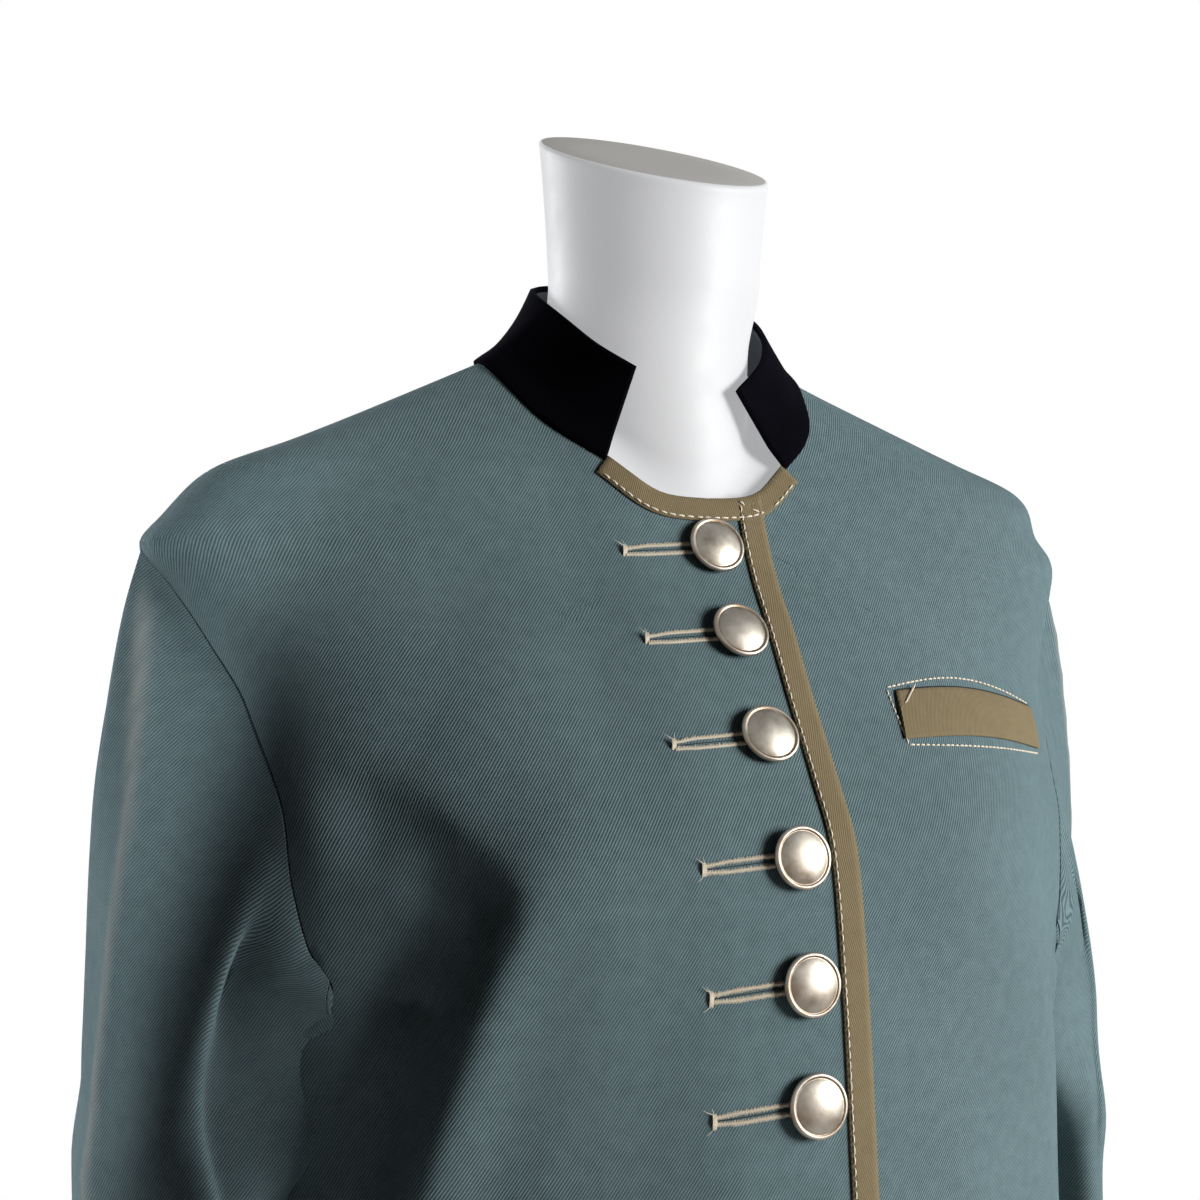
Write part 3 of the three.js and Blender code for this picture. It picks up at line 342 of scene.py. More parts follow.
def tube(path, radius, sides, up, taper=0.55, flat=1.0):
    """A short closed rod along a path of points."""
    path = np.asarray(path, float)
    n = len(path)
    tan = unit(np.gradient(path, axis=0))
    u = np.cross(tan, np.array(up))
    u = unit(np.where(np.linalg.norm(u, axis=1, keepdims=True) < 1e-3, np.array([[1.0, 0, 0]]), u))
    w = np.cross(u, tan)
    r = np.full(n, radius)
    r[0] *= taper
    r[-1] *= taper
    a = np.arange(sides) / sides * 2 * np.pi
    across = np.cos(a)[None, :, None] * u[:, None] + flat * np.sin(a)[None, :, None] * w[:, None]
    ring = path[:, None] + r[:, None, None] * across
    tip = radius * 0.4
    verts = np.concatenate([ring.reshape(-1, 3), path[:1] - tan[:1] * tip, path[-1:] + tan[-1:] * tip])
    faces = []
    for k in range(n - 1):
        for s in range(sides):
            t = (s + 1) % sides
            faces.append((k * sides + s, k * sides + t, (k + 1) * sides + t, (k + 1) * sides + s))
    for s in range(sides):
        t = (s + 1) % sides
        faces.append((n * sides, t, s))
        faces.append((n * sides + 1, (n - 1) * sides + s, (n - 1) * sides + t))
    return verts, faces


def joined(parts):
    verts, faces, k = [], [], 0
    for v, f in parts:
        verts.append(v)
        faces += [tuple(int(i) + k for i in face) for face in f]
        k += len(v)
    return np.concatenate(verts), faces


def rods(name, parts, mat):
    v, f = joined(parts)
    mesh_object(name, v, f, mat, sharp=0)


def capped_rings(rings, bottom, top):
    """A closed surface through rings of points, between a point below and a point above."""
    k, sides = len(rings), len(rings[0])
    verts = np.concatenate([np.concatenate(rings), [bottom, top]])
    at = lambda r, i: r * sides + i % sides
    faces = []
    for i in range(sides):
        faces.append((k * sides, at(0, i + 1), at(0, i)))
        for r in range(k - 1):
            faces.append((at(r, i), at(r, i + 1), at(r + 1, i + 1), at(r + 1, i)))
        faces.append((at(k - 1, i), at(k - 1, i + 1), k * sides + 1))
    return verts, faces


# ---- Materials ----
def material(name):
    m = bpy.data.materials.new(name)
    m.use_nodes = True
    nt = m.node_tree
    nt.nodes.clear()
    out = nt.nodes.new("ShaderNodeOutputMaterial")
    shader = nt.nodes.new("ShaderNodeBsdfPrincipled")
    nt.links.new(shader.outputs[0], out.inputs[0])
    return m, nt, shader


def texture(nt, kind, output):
    return nt.nodes.new(kind).outputs[output]


def settings(nt, node, **values):
    """Sets inputs of a node to numbers or colours, or links them to outputs of other nodes."""
    for k, v in values.items():
        socket = node.inputs[k.replace("_", " ")]
        if isinstance(v, bpy.types.NodeSocket):
            nt.links.new(v, socket)
        else:
            socket.default_value = v


def bump(nt, height, strength, distance):
    n = nt.nodes.new("ShaderNodeBump")
    settings(nt, n, Strength=strength, Distance=distance, Height=height)
    return n.outputs[0]


def attribute(nt, name):
    n = nt.nodes.new("ShaderNodeAttribute")
    n.attribute_name = name
    return n.outputs["Fac"]


def parted(nt, vector, k):
    n = nt.nodes.new("ShaderNodeSeparateXYZ")
    nt.links.new(vector, n.inputs[0])
    return n.outputs[k]


def maths(nt, op, a, b=None, clamp=False):
    n = nt.nodes.new("ShaderNodeMath")
    n.operation = op
    n.use_clamp = clamp
    for k, v in enumerate((a, b)):
        if v is None:
            continue
        if isinstance(v, (int, float)):
            n.inputs[k].default_value = v
        else:
            nt.links.new(v, n.inputs[k])
    return n.outputs[0]


def times(nt, a, b, clamp=False):
    return maths(nt, "MULTIPLY", a, b, clamp)


def plus(nt, a, b, clamp=False):
    return maths(nt, "ADD", a, b, clamp)


def minus(nt, a, b, clamp=False):
    return maths(nt, "SUBTRACT", a, b, clamp)


def ramp(nt, fac, stops):
    n = nt.nodes.new("ShaderNodeValToRGB")
    e = n.color_ramp.elements
    while len(e) > 1:
        e.remove(e[-1])
    e[0].position, e[0].color = stops[0][0], (*stops[0][1], 1)
    for pos, col in stops[1:]:
        e.new(pos).color = (*col, 1)
    nt.links.new(fac, n.inputs[0])
    return n.outputs[0]


def noise(nt, vec, scale, detail=2.0, rough=0.5):
    n = nt.nodes.new("ShaderNodeTexNoise")
    settings(nt, n, Scale=scale, Detail=detail, Roughness=rough, Vector=vec)
    return n.outputs[0]


def twill_lines(nt, uv, angle, pitch):
    """Diagonal lines of a twill, from 0 to 1, at a pitch in metres."""
    across = plus(nt, times(nt, parted(nt, uv, 0), -math.sin(angle)), times(nt, parted(nt, uv, 1), math.cos(angle)))
    wave = maths(nt, "SINE", times(nt, across, 2 * math.pi / pitch))
    return plus(nt, times(nt, wave, 0.5), 0.5)


def mix_color(nt, fac, a, b):
    n = nt.nodes.new("ShaderNodeMix")
    n.data_type = "RGBA"
    for key, v in ((0, fac), (6, a), (7, b)):
        if isinstance(v, tuple):
            n.inputs[key].default_value = (*v, 1)
        else:
            nt.links.new(v, n.inputs[key])
    return n.outputs[2]


def cloth_material(name, dark, light, angle, pitch, rough, sheen, sheen_tint, relief, speckled=None, fuzz=0.5):
    m, nt, shader = material(name)
    uv = texture(nt, "ShaderNodeUVMap", 0)
    lines = twill_lines(nt, uv, angle * RAD, pitch)
    fibre = noise(nt, uv, 1500, 3, 0.7)
    mottle = noise(nt, uv, 160, 3, 0.6)
    patch = noise(nt, uv, 9, 2, 0.5)
    fac = plus(nt, times(nt, lines, 0.55), times(nt, fibre, 0.42))
    fac = plus(nt, fac, times(nt, minus(nt, mottle, 0.5), fuzz))
    fac = plus(nt, fac, times(nt, minus(nt, patch, 0.5), 0.25), clamp=True)
    col = ramp(nt, fac, [(0.15, dark), (0.85, light)])
    if name == "wool_twill":
        # painted highlight along the sleeves' pressed crease, with its rubbed nap
        col = mix_color(nt, times(nt, attribute(nt, "highlight_and_wear"), 0.55), col, CREASE_HIGHLIGHT_AND_WEAR)
    if speckled:
        specks = times(nt, minus(nt, noise(nt, uv, 700, 2, 0.8), 0.56), 5.0, clamp=True)
        col = mix_color(nt, times(nt, specks, 0.5), col, speckled)
    weave = bump(nt, plus(nt, times(nt, lines, 0.7), times(nt, fibre, 0.5)), relief, 0.00025)
    settings(
        nt, shader, Base_Color=col, Roughness=rough, Specular_IOR_Level=0.05, Normal=weave,
        Sheen_Weight=sheen, Sheen_Roughness=0.45, Sheen_Tint=(*sheen_tint, 1),
    )
    return m


CREASE_HIGHLIGHT_AND_WEAR = (0.30, 0.31, 0.29)  # painted highlight along the pressed crease, with its rubbed nap
TWILL = cloth_material(
    "wool_twill", dark=(0.046, 0.075, 0.082), light=(0.17, 0.245, 0.26), angle=55, pitch=0.00104, rough=0.85,
    sheen=0.1, sheen_tint=(0.6, 0.7, 0.75), relief=0.6, speckled=(0.13, 0.14, 0.21), fuzz=0.3,
)
TAN = cloth_material(
    "tan_gabardine", dark=(0.115, 0.088, 0.048), light=(0.26, 0.208, 0.122), angle=66, pitch=0.0008, rough=0.8,
    sheen=0.15, sheen_tint=(0.8, 0.74, 0.6), relief=0.4, fuzz=0.25,
)
LINING = cloth_material(
    "collar_lining", dark=(0.05, 0.06, 0.07), light=(0.12, 0.13, 0.14), angle=45, pitch=0.0006, rough=0.6,
    sheen=0.1, sheen_tint=(0.8, 0.8, 0.8), relief=0.3,
)


def velvet_material():
    m, nt, shader = material("black_velvet")
    uv = texture(nt, "ShaderNodeUVMap", 0)
    pile = noise(nt, uv, 2600, 2, 0.8)
    fac = plus(nt, times(nt, pile, 0.6), times(nt, noise(nt, uv, 45, 3, 0.6), 0.4))
    col = ramp(nt, fac, [(0.3, (0.0008, 0.0008, 0.0014)), (0.75, (0.0035, 0.0035, 0.006))])
    settings(
        nt, shader, Base_Color=col, Roughness=1.0, Specular_IOR_Level=0.02, Normal=bump(nt, pile, 0.6, 0.0003),
        Sheen_Weight=0.05, Sheen_Roughness=0.3, Sheen_Tint=(0.2, 0.25, 0.45, 1),
    )
    return m


def thread_material():
    m, nt, shader = material("cream_thread")
    f = noise(nt, texture(nt, "ShaderNodeTexCoord", "Object"), 2500, 2, 0.6)
    col = ramp(nt, f, [(0.3, (0.6, 0.51, 0.38)), (0.7, (0.86, 0.78, 0.64))])
    settings(nt, shader, Base_Color=col, Roughness=0.6, Sheen_Weight=0.3, Normal=bump(nt, f, 0.5, 0.0001))
    return m


def silver_material():
    m, nt, shader = material("old_silver")
    co = texture(nt, "ShaderNodeTexCoord", "Object")
    r = times(nt, parted(nt, texture(nt, "ShaderNodeUVMap", 0), 0), 1000 / 12)  # 0 at the middle, 1 at the rim
    blotch, fine = noise(nt, co, 150, 3, 0.6), noise(nt, co, 1800, 2, 0.6)
    from_groove = maths(nt, "ABSOLUTE", minus(nt, r, 0.86))
    groove = minus(nt, 1.0, times(nt, from_groove, 14.0), clamp=True)
    f = minus(nt, plus(nt, times(nt, blotch, 0.8), times(nt, fine, 0.25)), times(nt, groove, 0.4), clamp=True)
    col = ramp(nt, f, [(0.15, (0.2, 0.15, 0.105)), (0.42, (0.36, 0.325, 0.275)), (0.75, (0.48, 0.45, 0.4))])
    rough = ramp(nt, blotch, [(0.3, (0.4, 0.4, 0.4)), (0.7, (0.5, 0.5, 0.5))])
    dents = bump(nt, plus(nt, blotch, fine), 0.15, 0.0002)
    settings(nt, shader, Base_Color=col, Metallic=1.0, Roughness=rough, Normal=dents)
    return m


def form_material():
    """Satin white, which gives off a little light, with a matt grey cut at the neck."""
    m, nt, shader = material("form_gloss_white")
    co = texture(nt, "ShaderNodeTexCoord", "Object")
    scuff, cap = noise(nt, co, 90, 4, 0.6), attribute(nt, "cap")
    shell_color = ramp(nt, noise(nt, co, 6, 3, 0.5), [(0.3, (0.32, 0.32, 0.325)), (0.7, (0.34, 0.345, 0.355))])
    shell_rough = ramp(nt, scuff, [(0.35, (0.44, 0.44, 0.44)), (0.75, (0.54, 0.54, 0.54))])
    settings(
        nt, shader, Base_Color=mix_color(nt, cap, shell_color, (0.58, 0.57, 0.55)),
        Roughness=mix_color(nt, cap, shell_rough, (0.8, 0.8, 0.8)), Specular_IOR_Level=0.25,
        # painted light: the shell, though no lamp, glows a little to lift its shaded side; the cap does not glow
        Emission_Color=mix_color(nt, cap, (0.97, 0.98, 1.0), (0.0, 0.0, 0.0)), Emission_Strength=0.38,
        Normal=bump(nt, scuff, 0.06, 0.001),
    )
    return m


VELVET, THREAD, SILVER, FORM = velvet_material(), thread_material(), silver_material(), form_material()

# ---- Fronts ----
F_ROWS = dict(low=46, mid=40, corner=14, binding=8, neck=26)
BAND_COLS, F_COLS = 4, 64
CORNER_T = 1.14
SPLIT_Z = 500  # height at the centre of the row that meets the underarm


def front_boundaries():
    rows, corner = [], neck_signed(-CORNER_T)
    r = F_ROWS
    arm = lambda t: tuple(float(v) for v in armhole(ARMHOLE_FRONT, t))
    edge = lambda z: (-float(angle_of_x(OVERLAP_X, z)), z)
    arm_stops = [4.6, 6, 6.5, len(ARMHOLE_FRONT) - 1]
    for i in range(r["low"]):
        f = i / r["low"]
        rows.append((edge(lerp(HEM_Z, SPLIT_Z, f)), (90, lerp(HEM_Z, UNDERARM_Z, f))))
    for i in range(r["mid"]):
        f = i / r["mid"]
        rows.append((edge(lerp(SPLIT_Z, corner[1], f)), arm(lerp(0, arm_stops[0], f))))
    neck_stops = [-CORNER_T, CORNER_T, 2, len(NECK_FRONT) - 1]
    for k, count in enumerate((r["corner"], r["binding"], r["neck"])):
        for i in range(count):
            f = i / count
            if k == 2:
                f = 1 - (1 - f) ** 1.6
            inner, outer = (lerp(stops[k], stops[k + 1], f) for stops in (neck_stops, arm_stops))
            rows.append((neck_signed(inner), arm(outer)))
    rows.append((neck_signed(len(NECK_FRONT) - 1), (90, SHOULDER_POINT_Z)))
    return rows


def step_on_body(place, direction, distance):
    angle, z = place
    for _ in range(4):
        p = body_point(angle, z, False)
        da = (body_point(angle + 0.2, z, False) - p) / 0.2
        dz = (body_point(angle, z + 0.5, False) - p) / 0.5
        aa, ab, bb, ra, rb = da @ da, da @ dz, dz @ dz, da @ direction, dz @ direction
        det = aa * bb - ab * ab
        u, v = (ra * bb - rb * ab) / det, (rb * aa - ra * ab) / det
        length = np.linalg.norm(da * u + dz * v)
        angle += u / length * distance / 4
        z += v / length * distance / 4
    return angle, z


CORNER_ROW = F_ROWS["low"] + F_ROWS["mid"]
CROSS_ROW = CORNER_ROW + F_ROWS["corner"]
BINDING_ROW = CROSS_ROW + F_ROWS["binding"]


def front_places():
    """Angles and heights of one front's grid, as if on the wearer's left."""
    rows = front_boundaries()
    at = lambda p: body_point(p[0], p[1], False)
    out = []
    for r, (inner, outer) in enumerate(rows):
        before, after = rows[max(r - 1, 0)][0], rows[min(r + 1, len(rows) - 1)][0]
        normal = body_normal(np.float64(inner[0]), np.float64(inner[1]))
        inwards = lambda a, b: -unit(np.cross(normal, at(b) - at(a)))
        towards = unit(at(outer) - at(inner))
        direction, width = towards, NECK_BINDING_WIDTH if r > CORNER_ROW else EDGE_BAND_WIDTH
        if r == CORNER_ROW:
            direction = inwards(before, inner) * EDGE_BAND_WIDTH + inwards(inner, after) * NECK_BINDING_WIDTH
            width = float(np.linalg.norm(direction))
            direction = unit(direction)
        elif r <= BINDING_ROW:
            direction = inwards(before, after)
        elif r < len(rows) - 1:
            w = (r - BINDING_ROW) / (len(rows) - 1 - BINDING_ROW)
            direction = unit(lerp(inwards(before, after), towards, w))
        if direction @ towards < 0:
            direction = -direction
        ba, bz = step_on_body(inner, direction, width)
        k = np.linspace(0, 1, 90)
        pa, pz = lerp(ba, outer[0], k), lerp(bz, outer[1], k)
        s = lengths_along(body_point(pa, pz, False))
        even = np.linspace(0, s[-1], F_COLS + 1)
        band = np.linspace(0, 1, BAND_COLS + 1)[:-1]
        across = lambda a, b, path: np.concatenate([lerp(a, b, band), np.interp(even, s, path)])
        out.append((across(inner[0], ba, pa), across(inner[1], bz, pz)))
    return np.array([o[0] for o in out]), np.array([o[1] for o in out])


PLACES_A, PLACES_Z = front_places()


def front_grid(side):
    a, z = side * PLACES_A, PLACES_Z
    p, n = body_point(a, z), body_normal(a, z)
    if side < 0:
        p = p + n * lift_at(p[..., 0])[..., None]
    return p, n, cloth_uv(a, z)


GRIDS = {1: front_grid(1), -1: front_grid(-1)}


def sheet_piece(name, p, n, t, uv, mat, replaces=(), highlight_and_wear=None):
    v, f, u = shell(p, n, t, uv)
    o = mesh_object(name, v, f, mat, uv=u, sharp=55, replaces=replaces)
    if highlight_and_wear is not None:  # 1 where a highlight is painted along the pressed crease, with its rubbed nap
        values = np.zeros(len(v), dtype=np.float32)
        values[: highlight_and_wear.size] = highlight_and_wear.ravel()
        o.data.attributes.new("highlight_and_wear", "FLOAT", "POINT").data.foreach_set("value", values)


for side, name in ((1, "front_left"), (-1, "front_right")):
    p, n, uv = GRIDS[side]
    sheet_piece(name + "_cloth", p, n, CLOTH, uv, TWILL, replaces=[name])

# ---- Back ----
B_ROWS = dict(low=46, mid=40, top=34)
B_COLS = 48
SHOULDER_STEPS = [SHOULDER_POINT_Z, 670, 680, 687, 693, 700, 710, 724, NECK_POINT_Z]
YOKE_Z = 695  # height at the centre back of the row that meets the shoulder point
HALF_SEAM = 0.12


def back_half(side):
    r = B_ROWS
    outer, centre = [], []
    for i in range(r["low"]):
        f = i / r["low"]
        outer.append((90, lerp(HEM_Z, UNDERARM_Z, f)))
        centre.append(lerp(HEM_Z, SPLIT_Z, f))
    for i in range(r["mid"]):
        f = i / r["mid"]
        outer.append(tuple(float(v) for v in armhole(ARMHOLE_BACK, f * (len(ARMHOLE_BACK) - 1))))
        centre.append(lerp(SPLIT_Z, YOKE_Z, f))
    neck_top = NECK_BACK[-1][1]
    for i in range(r["top"] + 1):
        f = i / r["top"]
        steps = len(SHOULDER_STEPS)
        outer.append((90, float(np.interp(f * (steps - 1), range(steps), SHOULDER_STEPS))))
        centre.append(lerp(YOKE_Z, neck_top, f))
    f = np.linspace(0, 1, B_COLS + 1)
    na, nz = neck_back((len(NECK_BACK) - 1) * (1 - f))
    A, Z = [], []
    top_from = r["low"] + r["mid"]
    for k, (o, c) in enumerate(zip(outer, centre)):
        w = float(smooth(k, top_from - 9, sum(r.values())))
        A.append(lerp(180, o[0], f) + w * (na - lerp(180, 90, f)))
        Z.append(lerp(c, o[1], f) + w * (nz - lerp(neck_top, NECK_POINT_Z, f)))
    return side * np.array(A), np.array(Z)


for side, word in ((1, "left"), (-1, "right")):
    a, z = (v[:, ::-side] for v in back_half(side))
    p = body_point(a, z)
    p[:, -1 if side > 0 else 0, 0] += side * HALF_SEAM
    n, name = body_normal(a, z), f"back_{word}"
    sheet_piece(name + "_cloth", p, n, CLOTH, cloth_uv(a, z), TWILL, replaces=[name])

# ---- Sleeves ----
SLEEVE_RINGS = [  # z, out, forward, thick, deep, lean
    (88, 218.5, 19, 20.5, 56, 2), (175, 218, 10, 21, 59, 4), (250, 210, 2, 21.5, 62, 9), (350, 206.5, -8, 22, 66, 13),
    (415, 208, -13, 22, 66, 12), (455, 209, -16, 20, 60, 7),
]
SLEEVE_TOP_Z, CUFF_Z = 455, 88
SLEEVE_RIDGE = dict(at=-6, width=15, rise=4.5)
# The pressed crease down the outside of the sleeve: height, ring angle.
PRESSED = [(88, -6), (350, -2), (429, 6), (490, 14), (546, 19), (562, 19), (598, 14), (632, 9), (662, 4)]
LEFT_SLEEVE_NARROWER = 4.5
# The pressed crease stands forward, so the sleeve's outer face turns to the front.
CREASE_FORWARD = dict(right=5.0, left=0.0, x=0.45, y=-0.89, from_back=70, to_front=72)
# ring angle, its spread, height, its spread, and how far it moves outwards and forwards
UNDERARM_HANG = [(126, 24, 454, 32, -32, -22), (98, 9, 520, 60, 7, 8), (88, 7, 440, 50, 2, 3)]
SLEEVE_FOLDS = [  # at, spread (degrees), z, slope, width, rise
    (40, 55, 395, 26, 16, 3), (60, 60, 335, -22, 15, -3), (300, 60, 290, 24, 18, -3), (90, 50, 255, 18, 14, 2.5),
]
FINE_SLEEVE_FOLDS = [
    (20, 35, 430, 14, 9, 1.3), (75, 40, 300, -16, 9, 1.4), (110, 45, 360, 20, 10, -1.5), (250, 50, 380, -20, 10, 1.6),
    (280, 45, 230, 18, 11, 1.4), (30, 40, 210, -14, 10, 1.2), (200, 60, 410, 8, 9, -1.6), (150, 50, 240, 12, 10, -1.4),
    (330, 30, 340, 12, 9, -1.2), (60, 35, 150, 10, 9, 1.0), (315, 35, 140, -10, 9, 1.0),
]
FRONT_SEAM, BACK_SEAM = 0.355, 0.7
DROP_ROWS, LENGTH_ROWS = 44, 70
sleeve_col = [column(SLEEVE_RINGS, k) for k in range(1, 6)]


def pressed_at(z):
    return np.interp(z, *zip(*PRESSED))


def sleeve_ring(u, z, side):
    deg = 360 * u
    a = deg * RAD
    out, fwd, thick, deep, lean = (c(z) for c in sleeve_col)
    wrap = lambda at: (deg - at + 540) % 360 - 180
    off = wrap(SLEEVE_RIDGE["at"])
    rise = SLEEVE_RIDGE["rise"] * bell(off / SLEEVE_RIDGE["width"])
    for at, spread, fz, slope, width, h in SLEEVE_FOLDS + FINE_SLEEVE_FOLDS:
        off = wrap(at)
        rise = rise + h * bell(off / spread) * bell((z - fz - slope * off / spread) / width)
    if side > 0:
        rise = rise - LEFT_SLEEVE_NARROWER * np.maximum(np.cos(a), 0)
    x = out + (thick + rise) * np.cos(a) - lean * np.sin(a)
    c = CREASE_FORWARD
    off = wrap(pressed_at(z))
    reach = np.clip(1 - np.where(off < 0, -off / c["from_back"], off / c["to_front"]), 0, 1)
    stand = (c["left"] if side > 0 else c["right"]) * reach ** 1.3 * lerp(0.35, 1, smooth(z, CUFF_Z, 330))
    return np.stack([x + c["x"] * stand, -fwd - (deep + rise) * np.sin(a) + c["y"] * stand, z + 0 * a], -1)


def armhole_start(turn, side):
    def place(t):
        w = t % 1
        fa, fz = armhole(ARMHOLE_FRONT, (len(ARMHOLE_FRONT) - 1) * (1 - 2 * np.minimum(w, 0.5)))
        ba, bz = armhole(ARMHOLE_BACK, (len(ARMHOLE_BACK) - 1) * (2 * np.maximum(w, 0.5) - 1))
        return np.where(w < 0.5, fa, ba), np.where(w < 0.5, fz, bz)

    a, z = place(turn)
    a = a * side
    start, normal = body_point(a, z), body_normal(a, z)
    a0, z0 = place(turn - 0.01)
    a1, z1 = place(turn + 0.01)
    inwards = unit(np.cross(body_point(a1 * side, z1) - body_point(a0 * side, z0), normal))
    hole = np.zeros_like(start)
    hole[..., 1:] = np.array([SIDE_Y, (UNDERARM_Z + SHOULDER_POINT_Z) / 2]) - start[..., 1:]
    inwards = np.where((inwards * hole).sum(-1, keepdims=True) < 0, -inwards, inwards)
    return start, normal, inwards


def sleeve_grid(side, u0, u1, cols):
    u = np.linspace(u0 + 0.0004, u1 - 0.0004, cols + 1)
    turn = u % 1
    start, normal, inwards = (v * np.array([side, 1, 1]) for v in armhole_start(turn, side))
    a = turn * 2 * np.pi
    under, across = (1 - np.cos(a)) / 2, np.abs(np.sin(a))
    corner = bell((turn * 360 - 135) / 32)  # the front corner of the underarm hangs straight down
    outwards = (0.3 + 0.35 * across + 0.3 * under) * (1 - 0.85 * corner)
    leave = unit(np.stack([outwards, -0.12 * np.sin(a), -0.95 + 0.35 * across + 0.1 * under], -1))
    # the cap's front and back leave the seam nearly in the panel's own plane
    flush = ((1 - smooth(under, 0.35, 0.8)) * (0.1 + 0.9 * across ** 2))[:, None]
    leave = unit(lerp(leave, inwards + np.array([0, 0, -0.5]), 0.6 * flush))
    start = start + inwards * (0.1 + 0.3 * under ** 2)[:, None] + normal * 0.25
    end = sleeve_ring(turn, np.full_like(turn, SLEEVE_TOP_Z), side)
    length = np.linalg.norm(end - start, axis=-1)
    arrive = unit(sleeve_ring(turn, np.full_like(turn, SLEEVE_TOP_Z - 3), side) - end)
    push = 0.5 + 0.3 * across + 0.3 * under ** 4 - 0.25 * flush[:, 0]
    leave, arrive = leave * (length * push)[:, None], arrive * (length * 0.9)[:, None]
    rows = [hermite(i / DROP_ROWS, start, end, leave, arrive) for i in range(DROP_ROWS)]
    for z in lerp(SLEEVE_TOP_Z, CUFF_Z, np.arange(LENGTH_ROWS + 1) / LENGTH_ROWS):
        rows.append(sleeve_ring(turn, np.full_like(turn, z), side))
    p = np.array(rows)
    # the pressed crease goes on up to the shoulder, with a small tuck beside it at the top
    deg = (turn * 360 + 180) % 360 - 180
    v = np.linspace(0, 1, DROP_ROWS + LENGTH_ROWS + 1)[:, None] * (DROP_ROWS + LENGTH_ROWS) / DROP_ROWS
    n = grid_normals(p)
    c = p.mean(axis=1, keepdims=True)
    n = n * np.where(((p - c) * n).sum(-1, keepdims=True).mean() < 0, -1, 1)
    off = deg[None] - pressed_at(p[..., 2])
    crease = np.exp(-np.abs(off) / 4.5)
    ridge = 2.4 * crease * smooth(v, 0.0, 0.2) + 1.2 * bell(off / 12) * smooth(v, 0.02, 0.3)
    flat = -1.2 * bell((off + 17) / 11) * smooth(v, 0.02, 0.3)
    tuck = -2.4 * bell((deg[None] + 2) / 3) * (1 - smooth(v, 0.0, 0.2))
    hollow = -2.0 * bell((deg[None] - 55) / 20) * bell((v - 0.55) / 0.25)
    p = p + n * (ridge + flat + tuck + hollow)[..., None]
    p[..., 0] += (4 if side < 0 else 3) * bell(deg[None] / 60) * smooth(v, 0.05, 0.5) * (1 - smooth(v, 0.4, 0.9))
    # below the armhole's front the cloth hangs against the body before it draws in to the tube
    for at, wide, z, tall, dx, dy in UNDERARM_HANG:
        near = bell((turn[None] * 360 - at) / wide) * bell((p[..., 2] - z) / tall) * smooth(v, 0.0, 0.4)
        p = p + near[..., None] * np.array([dx, dy, 0.0])
    # painted highlight along the pressed crease, with its rubbed nap: 1 on the crease
    highlight_and_wear = bell(off / 1.9) * smooth(v, 0.02, 0.2)
    p[..., 0] *= side
    step = np.hypot(np.diff(p[..., 0], axis=1), np.diff(p[..., 1], axis=1))
    around = np.concatenate([np.zeros((len(p), 1)), np.cumsum(step, axis=1)], axis=1)
    around = around - around[:, [np.argmin(np.abs(u - (0 if u0 < 0 else 0.5)))]]
    uv = np.stack([-side * around, p[..., 2]], -1)
    nn = grid_normals(p)
    k = int(DROP_ROWS + LENGTH_ROWS * 0.45)
    middle = np.array([side * sleeve_col[0](300), -sleeve_col[1](300), p[k, 0, 2]])
    flip = -1 if ((p[k] - middle) * nn[k]).sum() < 0 else 1
    return p, nn * flip, uv, highlight_and_wear


for side, word in ((1, "left"), (-1, "right")):
    for piece, u0, u1, cols in (("upper", BACK_SEAM - 1, FRONT_SEAM, 84), ("under", FRONT_SEAM, BACK_SEAM, 46)):
        p, n, uv, highlight_and_wear = sleeve_grid(side, u0, u1, cols)
        name, rests = f"sleeve_{piece}_{word}", (f"front_{word}_cloth", f"back_{word}_cloth")
        sheet_piece(name + "_cloth", p, n, CLOTH, uv, TWILL, highlight_and_wear=highlight_and_wear, replaces=[name])

# ---- Collar ----
COLLAR_BASE_GAP, COLLAR_START_T, COLLAR_END_SHIFT, COLLAR_END_RISE = -3.0, 2.0, -7, 3.5
LINING_THICKNESS = 0.4
COLLAR_TOP = [
    (23, -46, 731), (38.5, -32, 744), (47.5, -10, 760), (48.5, 13, 772), (39.5, 33, 779), (21, 45.5, 783), (0, 49, 784),
]


def collar_point(side, t, height):
    t, height = np.broadcast_arrays(np.asarray(t, float), np.asarray(height, float))
    span_f = len(NECK_FRONT) - 1 - COLLAR_START_T
    along = t * (span_f + len(NECK_BACK) - 1)
    fa, fz = neck_front(COLLAR_START_T + np.minimum(along, span_f))
    ba, bz = neck_back(np.maximum(along - span_f, 0))
    a, z = np.where(along <= span_f, fa, ba), np.where(along <= span_f, fz, bz)
    base, normal = body_point(side * a, z), body_normal(side * a, z)
    if side < 0:
        base = base + normal * lift_at(base[..., 0])[..., None]
    k = len(COLLAR_TOP) - 1
    x, y, z = (curve(COLLAR_TOP, col, t * k) for col in range(3))
    end = 1 - smooth(t, 0, 0.3)
    up = np.stack([side * x + COLLAR_END_SHIFT * end, y, z - side * COLLAR_END_RISE * end], -1) - base
    reach = np.linalg.norm(up, axis=-1, keepdims=True)
    over = (1 - smooth(height, 0, 0.35))[..., None] * 1.9
    return base + up / reach * (COLLAR_BASE_GAP + (reach - COLLAR_BASE_GAP) * height[..., None]) + normal * over


def collar_grid():
    t = np.linspace(0, 1, 61)
    h = np.linspace(0, 1, 17)[:, None]
    right = collar_point(-1, t[None], h)
    left = collar_point(1, t[None, ::-1], h)[:, 1:]
    p = np.concatenate([right, left], 1)
    n = grid_normals(p)
    k = p.shape[1] // 2
    if n[8, k, 1] < 0:
        n = -n
    uv = np.stack(np.broadcast_arrays(lengths_along(p[8])[None], h * 38), -1)
    return p, n, uv


